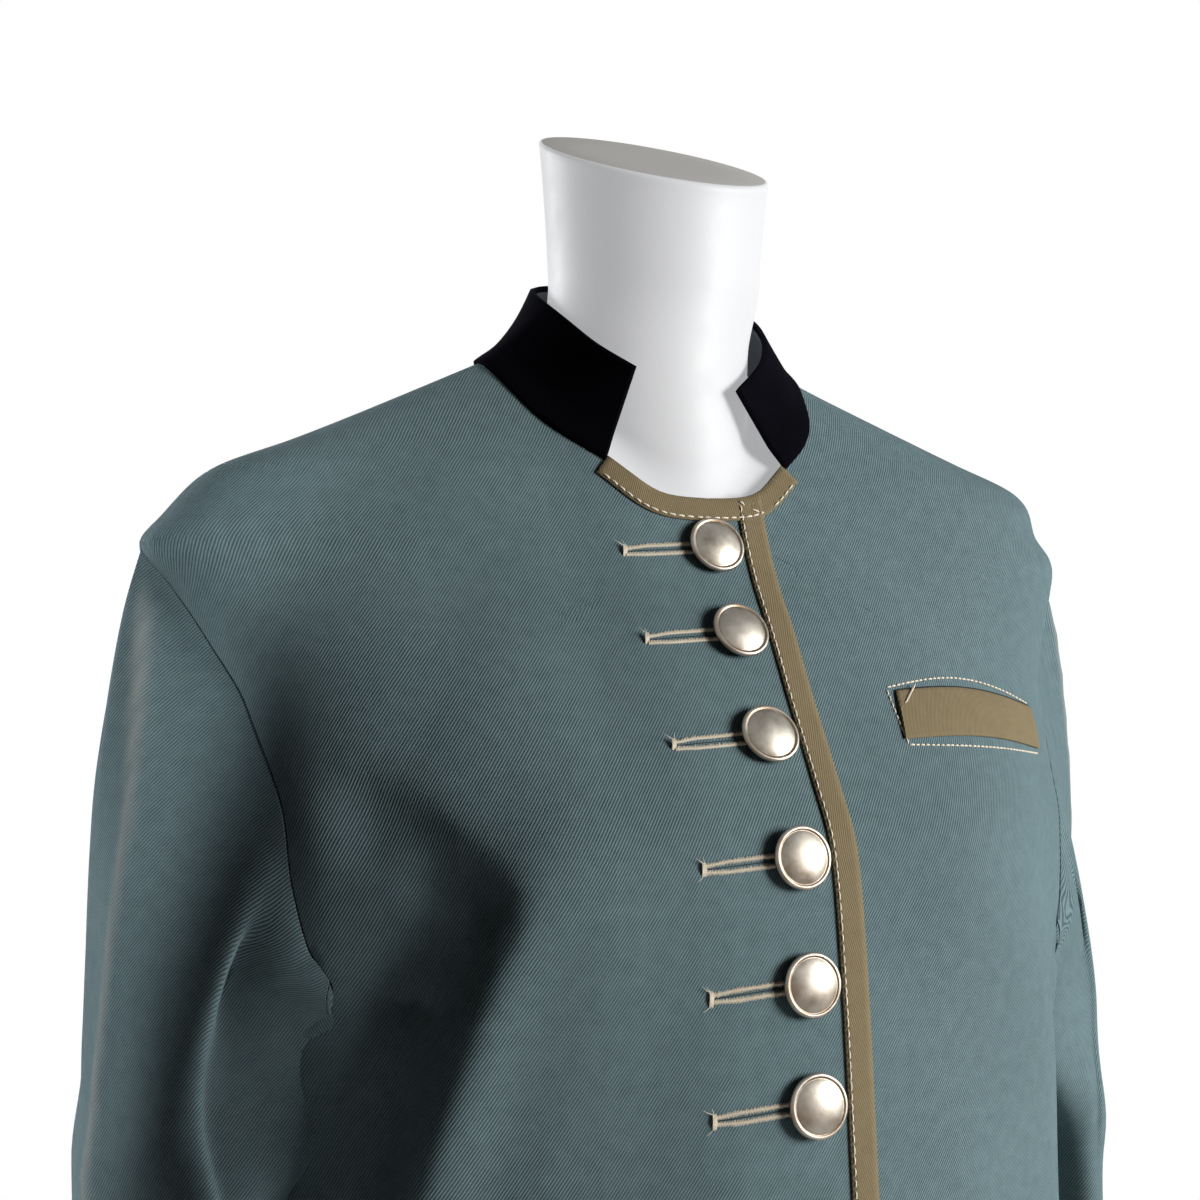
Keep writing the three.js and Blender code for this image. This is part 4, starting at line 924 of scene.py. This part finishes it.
p, n, uv = collar_grid()
sheet_piece("collar_velvet", p, n, COLLAR_THICKNESS, uv, VELVET, replaces=["collar"])
p, n, uv = (v[1:-1, 1:-1] for v in (p, n, uv))
p = p - n * (COLLAR_THICKNESS / 2 + 0.25)
sheet_piece("collar_lining", p, n, LINING_THICKNESS, uv, LINING)

# ---- Bindings and welts ----
ON_PANEL = CLOTH / 2 + 0.15 + TRIM / 2


def trimmed(p, n, uv, first, last):
    """Draws the first and last rows of a strip in by a distance."""
    p, n, uv = p.copy(), n.copy(), uv.copy()
    for r, q, d in ((0, 1, first), (-1, -2, last)):
        f = (d / np.maximum(np.linalg.norm(p[q] - p[r], axis=-1), 0.5))[:, None]
        p[r], n[r], uv[r] = lerp(p[r], p[q], f), unit(lerp(n[r], n[q], f)), lerp(uv[r], uv[q], f)
    return p, n, uv


def strip(side, r0, r1, first, last):
    p, n, uv = (g[r0 : r1 + 1, : BAND_COLS + 1] for g in GRIDS[side])
    return trimmed(p + n * ON_PANEL, n, uv, first, last)


def trim_piece(name, side, p, n, uv):
    sheet_piece(name + "_cloth", p, n, TRIM, uv, TAN, replaces=[name])


for name, s, r0, r1, first, last in (
    ("edge_band", -1, 0, CORNER_ROW, 0.0, 0.12), ("neck_binding_right", -1, CORNER_ROW, BINDING_ROW, 0.12, 0.2),
    ("neck_binding_left", 1, CROSS_ROW - 4, BINDING_ROW, 0.0, 0.2),
):
    trim_piece(name, s, *strip(s, r0, r1, first, last))

# x, z of a welt's outer lower, outer upper, inner upper and inner lower corner
BREAST_WELT = [(158, 576), (157, 594), (69, 603), (65.5, 584)]
LOWER_WELT = [(168, 372), (166, 394), (98, 318), (110, 302)]
WELT_COLS, WELT_ROWS = 40, 12


def patch(side, corners, distance, bow, arch):
    (ax, az), (bx, bz), (cx, cz), (dx, dz) = corners
    f, h = np.linspace(0, 1, WELT_COLS + 1)[None], np.linspace(0, 1, WELT_ROWS + 1)[:, None]
    z = lerp(lerp(dz, az, f), lerp(cz, bz, f), h)
    z = z + arch * np.sin(np.pi * f) * (0.75 + 0.25 * h)
    x = lerp(lerp(dx, ax, f), lerp(cx, bx, f), h)
    a = side * angle_of_x(x, z)
    n = body_normal(a, z)
    puff = distance + bow * np.sin(np.pi * h) * np.ones_like(f)
    p = body_point(a, z) + n * puff[..., None]
    uv = np.stack(np.broadcast_arrays(side * f * np.hypot(ax - dx, az - dz) * 1.1, h * np.hypot(ax - bx, az - bz)), -1)
    return p, n, uv


WELT_ARCH = 4.5
welt_tops = []
for name, s, corners, arch in (
    ("breast_welt", 1, BREAST_WELT, WELT_ARCH), ("lower_welt_left", 1, LOWER_WELT, 0),
    ("lower_welt_right", -1, LOWER_WELT, 0),
):
    p, n, uv = patch(s, corners, ON_PANEL + 0.1, bow=0.5, arch=arch)
    welt_tops.append((p[-1] - n[-1] * 0.3, n[-1]))
    trim_piece(name, s, p, n, uv)

# ---- Stitches ----
def surface(side, x, z, above):
    """A point above the cloth of a front at a distance from the centre line and a height."""
    a = np.where(np.asarray(x, float) < 0, -1, 1) * angle_of_x(np.abs(x), z)
    n = body_normal(a, z)
    p = body_point(a, z)
    if side < 0:
        p = p + n * lift_at(p[..., 0])[..., None]
    return p + n * above, n


def along(points, normals):
    s = lengths_along(points)
    at = lambda d, values: np.array([np.interp(d, s, values[:, k]) for k in range(3)]).T
    return s, lambda d: at(d, points), lambda d: unit(at(d, normals))


rng = np.random.default_rng(7)
FIRST_STITCH = 0.6


def run_of_stitches(points, normals, length, pitch, radius):
    s, at, nat = along(points, normals)
    parts, d = [], FIRST_STITCH
    while d + length < s[-1]:
        l = length * (1 + 0.08 * rng.standard_normal())
        q = at(np.linspace(d, d + l, 5))
        m = nat(np.linspace(d, d + l, 5))
        q = q + m * (np.array([-0.25, 0.1, 0.18, 0.1, -0.25])[:, None] * radius * 2)
        parts.append(tube(q, radius, sides=6, taper=0.6, up=m[2]))
        d += pitch * (1 + 0.04 * rng.standard_normal())
    return parts


stitch_parts = []
TOP_OF_TRIM = TRIM / 2 + 0.12
for s, r0, r1, in_mm, width in (  # side, rows, distance from the binding's inner edge
    (-1, 0, CORNER_ROW, 1.3, EDGE_BAND_WIDTH), (-1, CORNER_ROW, BINDING_ROW, 1.2, NECK_BINDING_WIDTH),
    (1, CROSS_ROW + 1, BINDING_ROW, 1.2, NECK_BINDING_WIDTH),
):
    p, n, _ = strip(s, r0, r1, 0.5, 0.5)
    k = (1 - in_mm / width) * BAND_COLS
    i = min(int(k), BAND_COLS - 1)
    line = lerp(p[:, i], p[:, i + 1], k - i) + n[:, i] * TOP_OF_TRIM
    stitch_parts += run_of_stitches(line, n[:, i], 3.2, 3.9, 0.4)
rods("edge_stitching", stitch_parts, THREAD)


def pocket_stitching(side, corners, name, rise):
    (ax, az), (bx, bz), (cx, cz), (dx, dz) = corners
    parts = []
    f = np.linspace(0, 1, 60)
    low, high = (dx + 1.5, dz - 2), (cx - 4, cz + 1.5)
    for a, b, arch in ((low, (ax, az - 2), 0.3 * rise), (low, high, 0), (high, (bx + 1, bz + 1), rise + 3)):
        x, z = lerp(a[0], b[0], f), lerp(a[1], b[1], f) + arch * np.sin(np.pi * f)
        p, n = surface(side, side * x, z, CLOTH / 2 + 0.1)
        parts += run_of_stitches(p, n, 2.3, 2.8, 0.42)
    # a bar tack across the upper inner corner
    x, z = side * np.linspace(cx + 10, cx + 2, 12), np.linspace(cz + 1.5, cz - 5.5, 12)
    p, n = surface(side, x, z, CLOTH / 2 + TRIM + 0.7)
    for shift in ((0, 0, 0), (0.5, 0, 0.3)):
        parts.append(tube(p + n * 0.1 + np.array(shift), 0.34, sides=6, taper=0.6, up=n[6]))
    rods(name, parts, THREAD)


pocket_stitching(1, BREAST_WELT, "breast_pocket_stitching", WELT_ARCH)
pocket_stitching(1, LOWER_WELT, "lower_pocket_stitching_left", 0)
pocket_stitching(-1, LOWER_WELT, "lower_pocket_stitching_right", 0)

# ---- Buttons and buttonholes ----
BUTTON_X, BUTTON_TOP_Z = -1, 660
BUTTON_SPACING = [40, 45, 48, 45, 43, 45, 45, 45, 45]
BUTTON_PROFILE = [  # radius, height above the back
    (0, -1.2), (3.5, -1.2), (3.5, -0.1), (9.8, 0), (10.8, 0.25), (11.6, 0.75), (11.95, 1.35), (12, 1.8),
    (11.85, 2.3), (11.45, 2.7), (10.95, 2.85), (10.5, 2.75), (10.2, 2.5), (9.95, 2.45), (9.7, 2.62), (9.0, 3.0),
    (8.0, 3.45), (6.6, 3.95), (5.0, 4.4), (3.3, 4.72), (1.6, 4.92), (0, 4.98),
]
BUTTON_RISE, BUTTON_SIDES = CLOTH / 2 + 1.6, 48


def button_heights():
    heights = [float(BUTTON_TOP_Z)]
    for spacing in BUTTON_SPACING:
        z, left = heights[-1], spacing
        while left > 0:
            left -= float(np.linalg.norm(body_point(0.0, z, False) - body_point(0.0, z - 0.5, False)))
            z -= 0.5
        heights.append(z)
    return heights


def button(name, z, turn):
    p, n = surface(-1, np.float64(BUTTON_X), np.float64(z), BUTTON_RISE)
    a = np.arange(BUTTON_SIDES) / BUTTON_SIDES * 2 * np.pi
    (_, low), *profile, (_, high) = BUTTON_PROFILE
    flat = np.ones(BUTTON_SIDES)
    rings = [np.stack([r * np.cos(a), r * np.sin(a), h * flat], -1) for r, h in profile]
    uv = np.concatenate([np.stack([r * flat, a * 4], -1) for r, _ in profile] + [np.zeros((2, 2))])
    v, f = capped_rings(rings, [0, 0, low], [0, 0, high])
    leaning = 0.02 * math.sin(turn * 5), 0, 0.03 * math.cos(turn * 3)
    tilt = (Vector(n) + Vector(leaning)).normalized()
    rot = tilt.to_track_quat("Z", "Y").to_matrix() @ Matrix.Rotation(turn, 3, "Z")
    v = v @ np.array(rot).T + p
    mesh_object(name + "_metal", v, f, SILVER, uv=uv, sharp=0, replaces=[name])


HEIGHTS = button_heights()
for i, z in enumerate(HEIGHTS):
    button(f"button_{i + 1}", z, i * 1.7)


def buttonhole(z):
    parts = []
    x = np.linspace(-8.5, -40, 60)
    zz = z - 0.2 + np.linspace(0, -1.8, 60)
    spread = 1.75 - 0.55 * smooth(-x, 30, 40)
    for side in (1, -1):
        lip, n = surface(-1, x, zz + side * spread, CLOTH / 2 + 0.12)
        s, at, nat = along(lip, n)
        d = 0.0
        while d < s[-1]:
            c, m = at(d), nat(d)
            w = 0.95 + 0.12 * rng.standard_normal()
            slant = 0.22 + 0.05 * rng.standard_normal()
            q = np.array([c + np.array([slant, 0, w]), c + m * 0.3, c - np.array([slant, 0, w])])
            parts.append(tube(q, 0.26, sides=5, taper=0.55, up=m))
            d += 0.62
        parts.append(tube(lip - n * 0.1, 0.42, sides=6, up=(0, 0, 1)))
    end, n = surface(-1, np.float64(-40.6), np.float64(z - 2.1), CLOTH / 2 + 0.3)
    for k in range(5):
        dx = (k - 2) * 0.34
        low, high = (way * 2.9 + 0.2 * rng.standard_normal() for way in (-1, 1))
        q = end + np.array([(dx, 0, low), (dx, 0, 0), (dx, 0, high)]) + n * np.array([[0], [0.45], [0]])
        parts.append(tube(q, 0.3, sides=5, taper=0.5, up=n))
    for k in range(3):  # loose ends
        up = 1 if k % 2 == 0 else -1
        dx = -0.6 - 0.8 * k + 0.3 * rng.standard_normal()
        tip = up * (4.4 + 0.6 * rng.random())
        q = end + np.array([(0, 0, up * 2.4), (dx, 0, up * 3.3), (dx * 1.9, 0, tip)])
        q = q + n * np.array([[0], [0.5], [0.25]])
        parts.append(tube(q, 0.13, sides=4, taper=0.5, up=n))
    return parts


parts, slits = [], []
for z in HEIGHTS:
    parts += buttonhole(z)
    x = np.linspace(-8.5, -39, 24)
    lip, n = surface(-1, x, z - 0.2 + np.linspace(0, -1.75, 24), CLOTH / 2 + 0.02)
    slits.append(tube(lip, 0.5, sides=5, taper=0.4, flat=0.35, up=(0, 0, 1)))
# painted shade: a near-black material for rods laid in the buttonhole slits, the pocket openings and the armhole seams,
# where these gaps show only shade
SHADE_IN_GAPS, nt, shader = material("buttonhole_slit")
dark = noise(nt, texture(nt, "ShaderNodeTexCoord", "Object"), 1500)
col = ramp(nt, dark, [(0.3, (0.004, 0.007, 0.008)), (0.8, (0.012, 0.018, 0.02))])
settings(nt, shader, Base_Color=col, Roughness=0.95)
rods("buttonhole_stitching", parts, THREAD)
rods("buttonhole_slits", slits, SHADE_IN_GAPS)
# painted shade along the pocket openings
rods("pocket_openings", [tube(p, 0.75, sides=6, taper=0.5, up=n[20]) for p, n in welt_tops], SHADE_IN_GAPS)
# painted shade: a dark rod under each armhole seam fills the gap between sleeve and body
seams = []
for side in (1, -1):
    p, n, _ = armhole_start(np.linspace(0, 0.9999, 241), side)
    seams.append(tube(p - n * 0.6, 0.8, sides=6, taper=1.0, up=(0, 0, 1)))
rods("armhole_seams", seams, SHADE_IN_GAPS)

# ---- Dress form ----
FORM_AXIS_Y, REST_GAP, FORM_NECK_RADIUS, FORM_BLEND = -2, 2.0, 45.3, 7
FORM_CAP = dict(z=831, slope=0.42, flare=4.2)
FORM_SIDES, FORM_NECK_START = 144, 768
FORM_RINGS = [
    (0, 160, 94, 100), (6, 166, 99, 106), (100, 173, 106, 113), (175, 171, 108, 108), (250, 162, 107, 96),
    (330, 152, 106, 86), (420, 160, 110, 90), (500, 172, 112, 96), (545, 178, 106, 99), (587, 187, 87, 96),
    (626, 196, 66, 91), (650, 200, 55, 86), (661, 199, 50, 84), (670, 196, 46.5, 81),
]
form_half, form_front, form_back = (column(FORM_RINGS, k) for k in (1, 2, 3))


def form_torso(z):
    last = FORM_RINGS[-1][0]
    if z <= last:
        return form_half(z), form_front(z), form_back(z)
    w = smooth(z, last, last + 22)
    up = z + REST_GAP
    over = max(up - 738, 0) * 2.5
    return (
        lerp(form_half(last) - (z - last) * 1.2, half(up) - over, w),
        lerp(form_front(last) - (z - last) * 0.4, front(up) - 2.5, w),
        lerp(form_back(last) - (z - last) * 0.3, back(up) - 3 - over, w),
    )


def form_reach(angle, z):
    w, f, b = form_torso(z)
    dx, dy = np.sin(angle), -np.cos(angle)
    low, high = np.zeros_like(angle), np.full_like(angle, 260.0)
    for _ in range(30):
        mid = (low + high) / 2
        x, y = mid * dx / w, FORM_AXIS_Y + mid * dy - SIDE_Y
        reach = np.where(y < 0, f + SIDE_Y, b - SIDE_Y)
        power = 2 / np.where(y < 0, FRONT_SQUARENESS, back_squareness(z + REST_GAP))
        inside = x * x + np.abs(y / reach) ** power < 1
        low, high = np.where(inside, mid, low), np.where(inside, high, mid)
    if z < 600:
        return low
    if z > 746:
        low = np.zeros_like(low)
    base = smooth(z, 683, 790)
    flare = FORM_CAP["flare"] * smooth(z, 770, FORM_CAP["z"])
    neck = FORM_NECK_RADIUS + flare - 4.8 * (1 - base) * np.maximum(np.cos(angle), 0)
    d = np.clip(0.5 + (low - neck) / (2 * FORM_BLEND), 0, 1)
    return lerp(neck, low, d) + FORM_BLEND * d * (1 - d) * 0.5


def dress_form():
    a = np.arange(FORM_SIDES) / FORM_SIDES * 2 * np.pi
    heights = [0, 0.8, 2, 4, 7, 12] + list(np.arange(20, 640, 10)) + list(np.arange(640, FORM_NECK_START, 2.5))
    rings = []
    for z in heights:
        r = form_reach(a, float(z))
        if z < 12:
            r = r - 3 * (1 - math.sqrt(max(0, 1 - (1 - z / 12) ** 2)))
        shift = neck_shift(float(z) + 4) * (1 - smooth(z, 745, 775))
        rings.append(np.stack([r * np.sin(a) + shift, FORM_AXIS_Y - r * np.cos(a), np.full(FORM_SIDES, float(z))], -1))

    def slanted(r, height):
        y = -r * np.cos(a)
        rings.append(np.stack([r * np.sin(a), FORM_AXIS_Y + y, height(FORM_CAP["z"] + FORM_CAP["slope"] * y)], -1))

    for f in np.linspace(0.1, 0.92, 12):  # the neck widens up to its slanted end
        slanted(FORM_NECK_RADIUS + FORM_CAP["flare"] * f ** 1.6, lambda top: lerp(FORM_NECK_START, top, f))
    for inset, drop in ((0, 1.6), (0.1, 1.0), (0.4, 0.4), (0.9, 0.1), (1.5, 0.0), (20, 0.0)):
        slanted(FORM_NECK_RADIUS + FORM_CAP["flare"] - inset, lambda top: top - drop)
    return capped_rings(rings, [0, FORM_AXIS_Y, 0], [0, FORM_AXIS_Y, FORM_CAP["z"]])


v, f = dress_form()
form = mesh_object("dress_form_shell", v, f, FORM, sharp=50, replaces=["dress_form"])
on_cap = np.zeros(len(v), dtype=np.float32)
on_cap[-2 - 2 * FORM_SIDES : -2] = 1
on_cap[-1] = 1
form.data.attributes.new("cap", "FLOAT", "POINT").data.foreach_set("value", on_cap)

# ---- Floor, light and camera ----
FLOOR_RADIUS, FLOOR_SIDES = 0.8, 96


def stage_floor():
    m, nt, shader = material("pale_floor")
    clouds = noise(nt, texture(nt, "ShaderNodeTexCoord", "Object"), 3, 2)
    col = ramp(nt, clouds, [(0.3, (0.86, 0.86, 0.86)), (0.7, (0.9, 0.9, 0.9))])
    settings(nt, shader, Base_Color=col, Roughness=0.8)
    mesh = bpy.data.meshes.new("floor")
    a = np.arange(FLOOR_SIDES) / FLOOR_SIDES * 2 * np.pi
    rim = [(FLOOR_RADIUS * math.cos(t), FLOOR_RADIUS * math.sin(t), 0) for t in a]
    mesh.from_pydata(rim, [], [tuple(range(FLOOR_SIDES))])
    mesh.materials.append(m)
    o = bpy.data.objects.new("floor", mesh)
    bpy.context.scene.collection.objects.link(o)


stage_floor()
world = bpy.data.worlds.new("studio")
bpy.context.scene.world = world
world.use_nodes = True
wn = world.node_tree
wn.nodes.clear()


def background(color, strength):
    n = wn.nodes.new("ShaderNodeBackground")
    settings(wn, n, Color=color, Strength=strength)
    return n.outputs[0]


def by_ray(kind, others, this):
    """One background for a kind of ray and another for all others."""
    n = wn.nodes.new("ShaderNodeMixShader")
    for k, v in enumerate((texture(wn, "ShaderNodeLightPath", kind), others, this)):
        wn.links.new(v, n.inputs[k])
    return n.outputs[0]


upwards = parted(wn, texture(wn, "ShaderNodeTexCoord", "Generated"), 2)
warm_to_pale = ramp(
    wn, plus(wn, times(wn, upwards, 0.5), 0.5),
    [(0.3, (0.22, 0.10, 0.04)), (0.46, (0.42, 0.27, 0.16)), (0.56, (0.8, 0.79, 0.76)), (0.9, (0.6, 0.61, 0.62))],
)
lighting = by_ray("Is Glossy Ray", background((1.0, 0.84, 0.76, 1), 0.022), background(warm_to_pale, 0.75))
seen = by_ray("Is Camera Ray", lighting, background((1, 1, 1, 1), 1.0))
wn.links.new(seen, wn.nodes.new("ShaderNodeOutputWorld").inputs[0])


LIT_POINT = Vector((0, 0, 0.55))


def area_light(name, place, target, size, power, color, spread=180, roll=0):
    data = bpy.data.lights.new(name, "AREA")
    data.spread = spread * RAD
    data.shape = "RECTANGLE"
    data.size, data.size_y = size
    data.energy = power
    data.color = color
    o = bpy.data.objects.new(name, data)
    o.location = place
    aim = (Vector(target) - Vector(place)).to_track_quat("-Z", "Y").to_matrix()
    o.rotation_euler = (aim @ Matrix.Rotation(roll * RAD, 3, "Z")).to_euler()
    bpy.context.scene.collection.objects.link(o)


def studio_light(name, azimuth, elevation, distance, size, power, color=(1, 1, 1)):
    """A soft light in a direction from the jacket's front, azimuth positive towards the wearer's left."""
    a, e = azimuth * RAD, elevation * RAD
    way = Vector((math.sin(a) * math.cos(e), -math.cos(a) * math.cos(e), math.sin(e)))
    area_light(name, LIT_POINT + way * distance, LIT_POINT, size, power, color)


studio_light("key", 44, 10, 2.4, (0.9, 1.0), 82, (1.0, 0.985, 0.97))
studio_light("edge", 66, 10, 2.4, (0.9, 1.0), 12, (0.85, 1.0, 1.03))
studio_light("behind", 165, 35, 2.6, (1.6, 1.4), 9)
studio_light("far_side", -147, 10, 2.4, (1.0, 1.2), 40, (0.95, 0.98, 1.0))
# a narrow strip light along the wearer's right arm
area_light(
    "strip", (-1.092, -0.485, 0.72), (-0.222, 0.015, 0.54), (0.09, 0.56), 0.115, (0.97, 0.98, 1.0), spread=3, roll=-12,
)

bpy.context.scene.view_settings.view_transform = "Standard"
bpy.context.scene.view_settings.look = "None"
CAM_AZ, CAM_DISTANCE, CAM_Z, CAM_F, CAM_PAN, CAM_TILT = -26.94, 0.793, 0.630, 1837.0, -1.604, 0.808
IMAGE_WIDTH, SENSOR_WIDTH = 1200, 36.0  # CAM_F is the focal length in pixels of this width
cam_data = bpy.data.cameras.new("camera")
cam_data.sensor_width = SENSOR_WIDTH
cam_data.lens = CAM_F / IMAGE_WIDTH * SENSOR_WIDTH
cam_data.clip_start, cam_data.clip_end = 0.02, 50
cam = bpy.data.objects.new("camera", cam_data)
cam.location = (math.sin(CAM_AZ * RAD) * CAM_DISTANCE, -math.cos(CAM_AZ * RAD) * CAM_DISTANCE, CAM_Z)
turn, tilt = (CAM_AZ - CAM_PAN) * RAD, CAM_TILT * RAD
look = Vector((-math.sin(turn) * math.cos(tilt), math.cos(turn) * math.cos(tilt), math.sin(tilt)))
cam.rotation_euler = look.to_track_quat("-Z", "Y").to_euler()
bpy.context.scene.collection.objects.link(cam)
bpy.context.scene.camera = cam
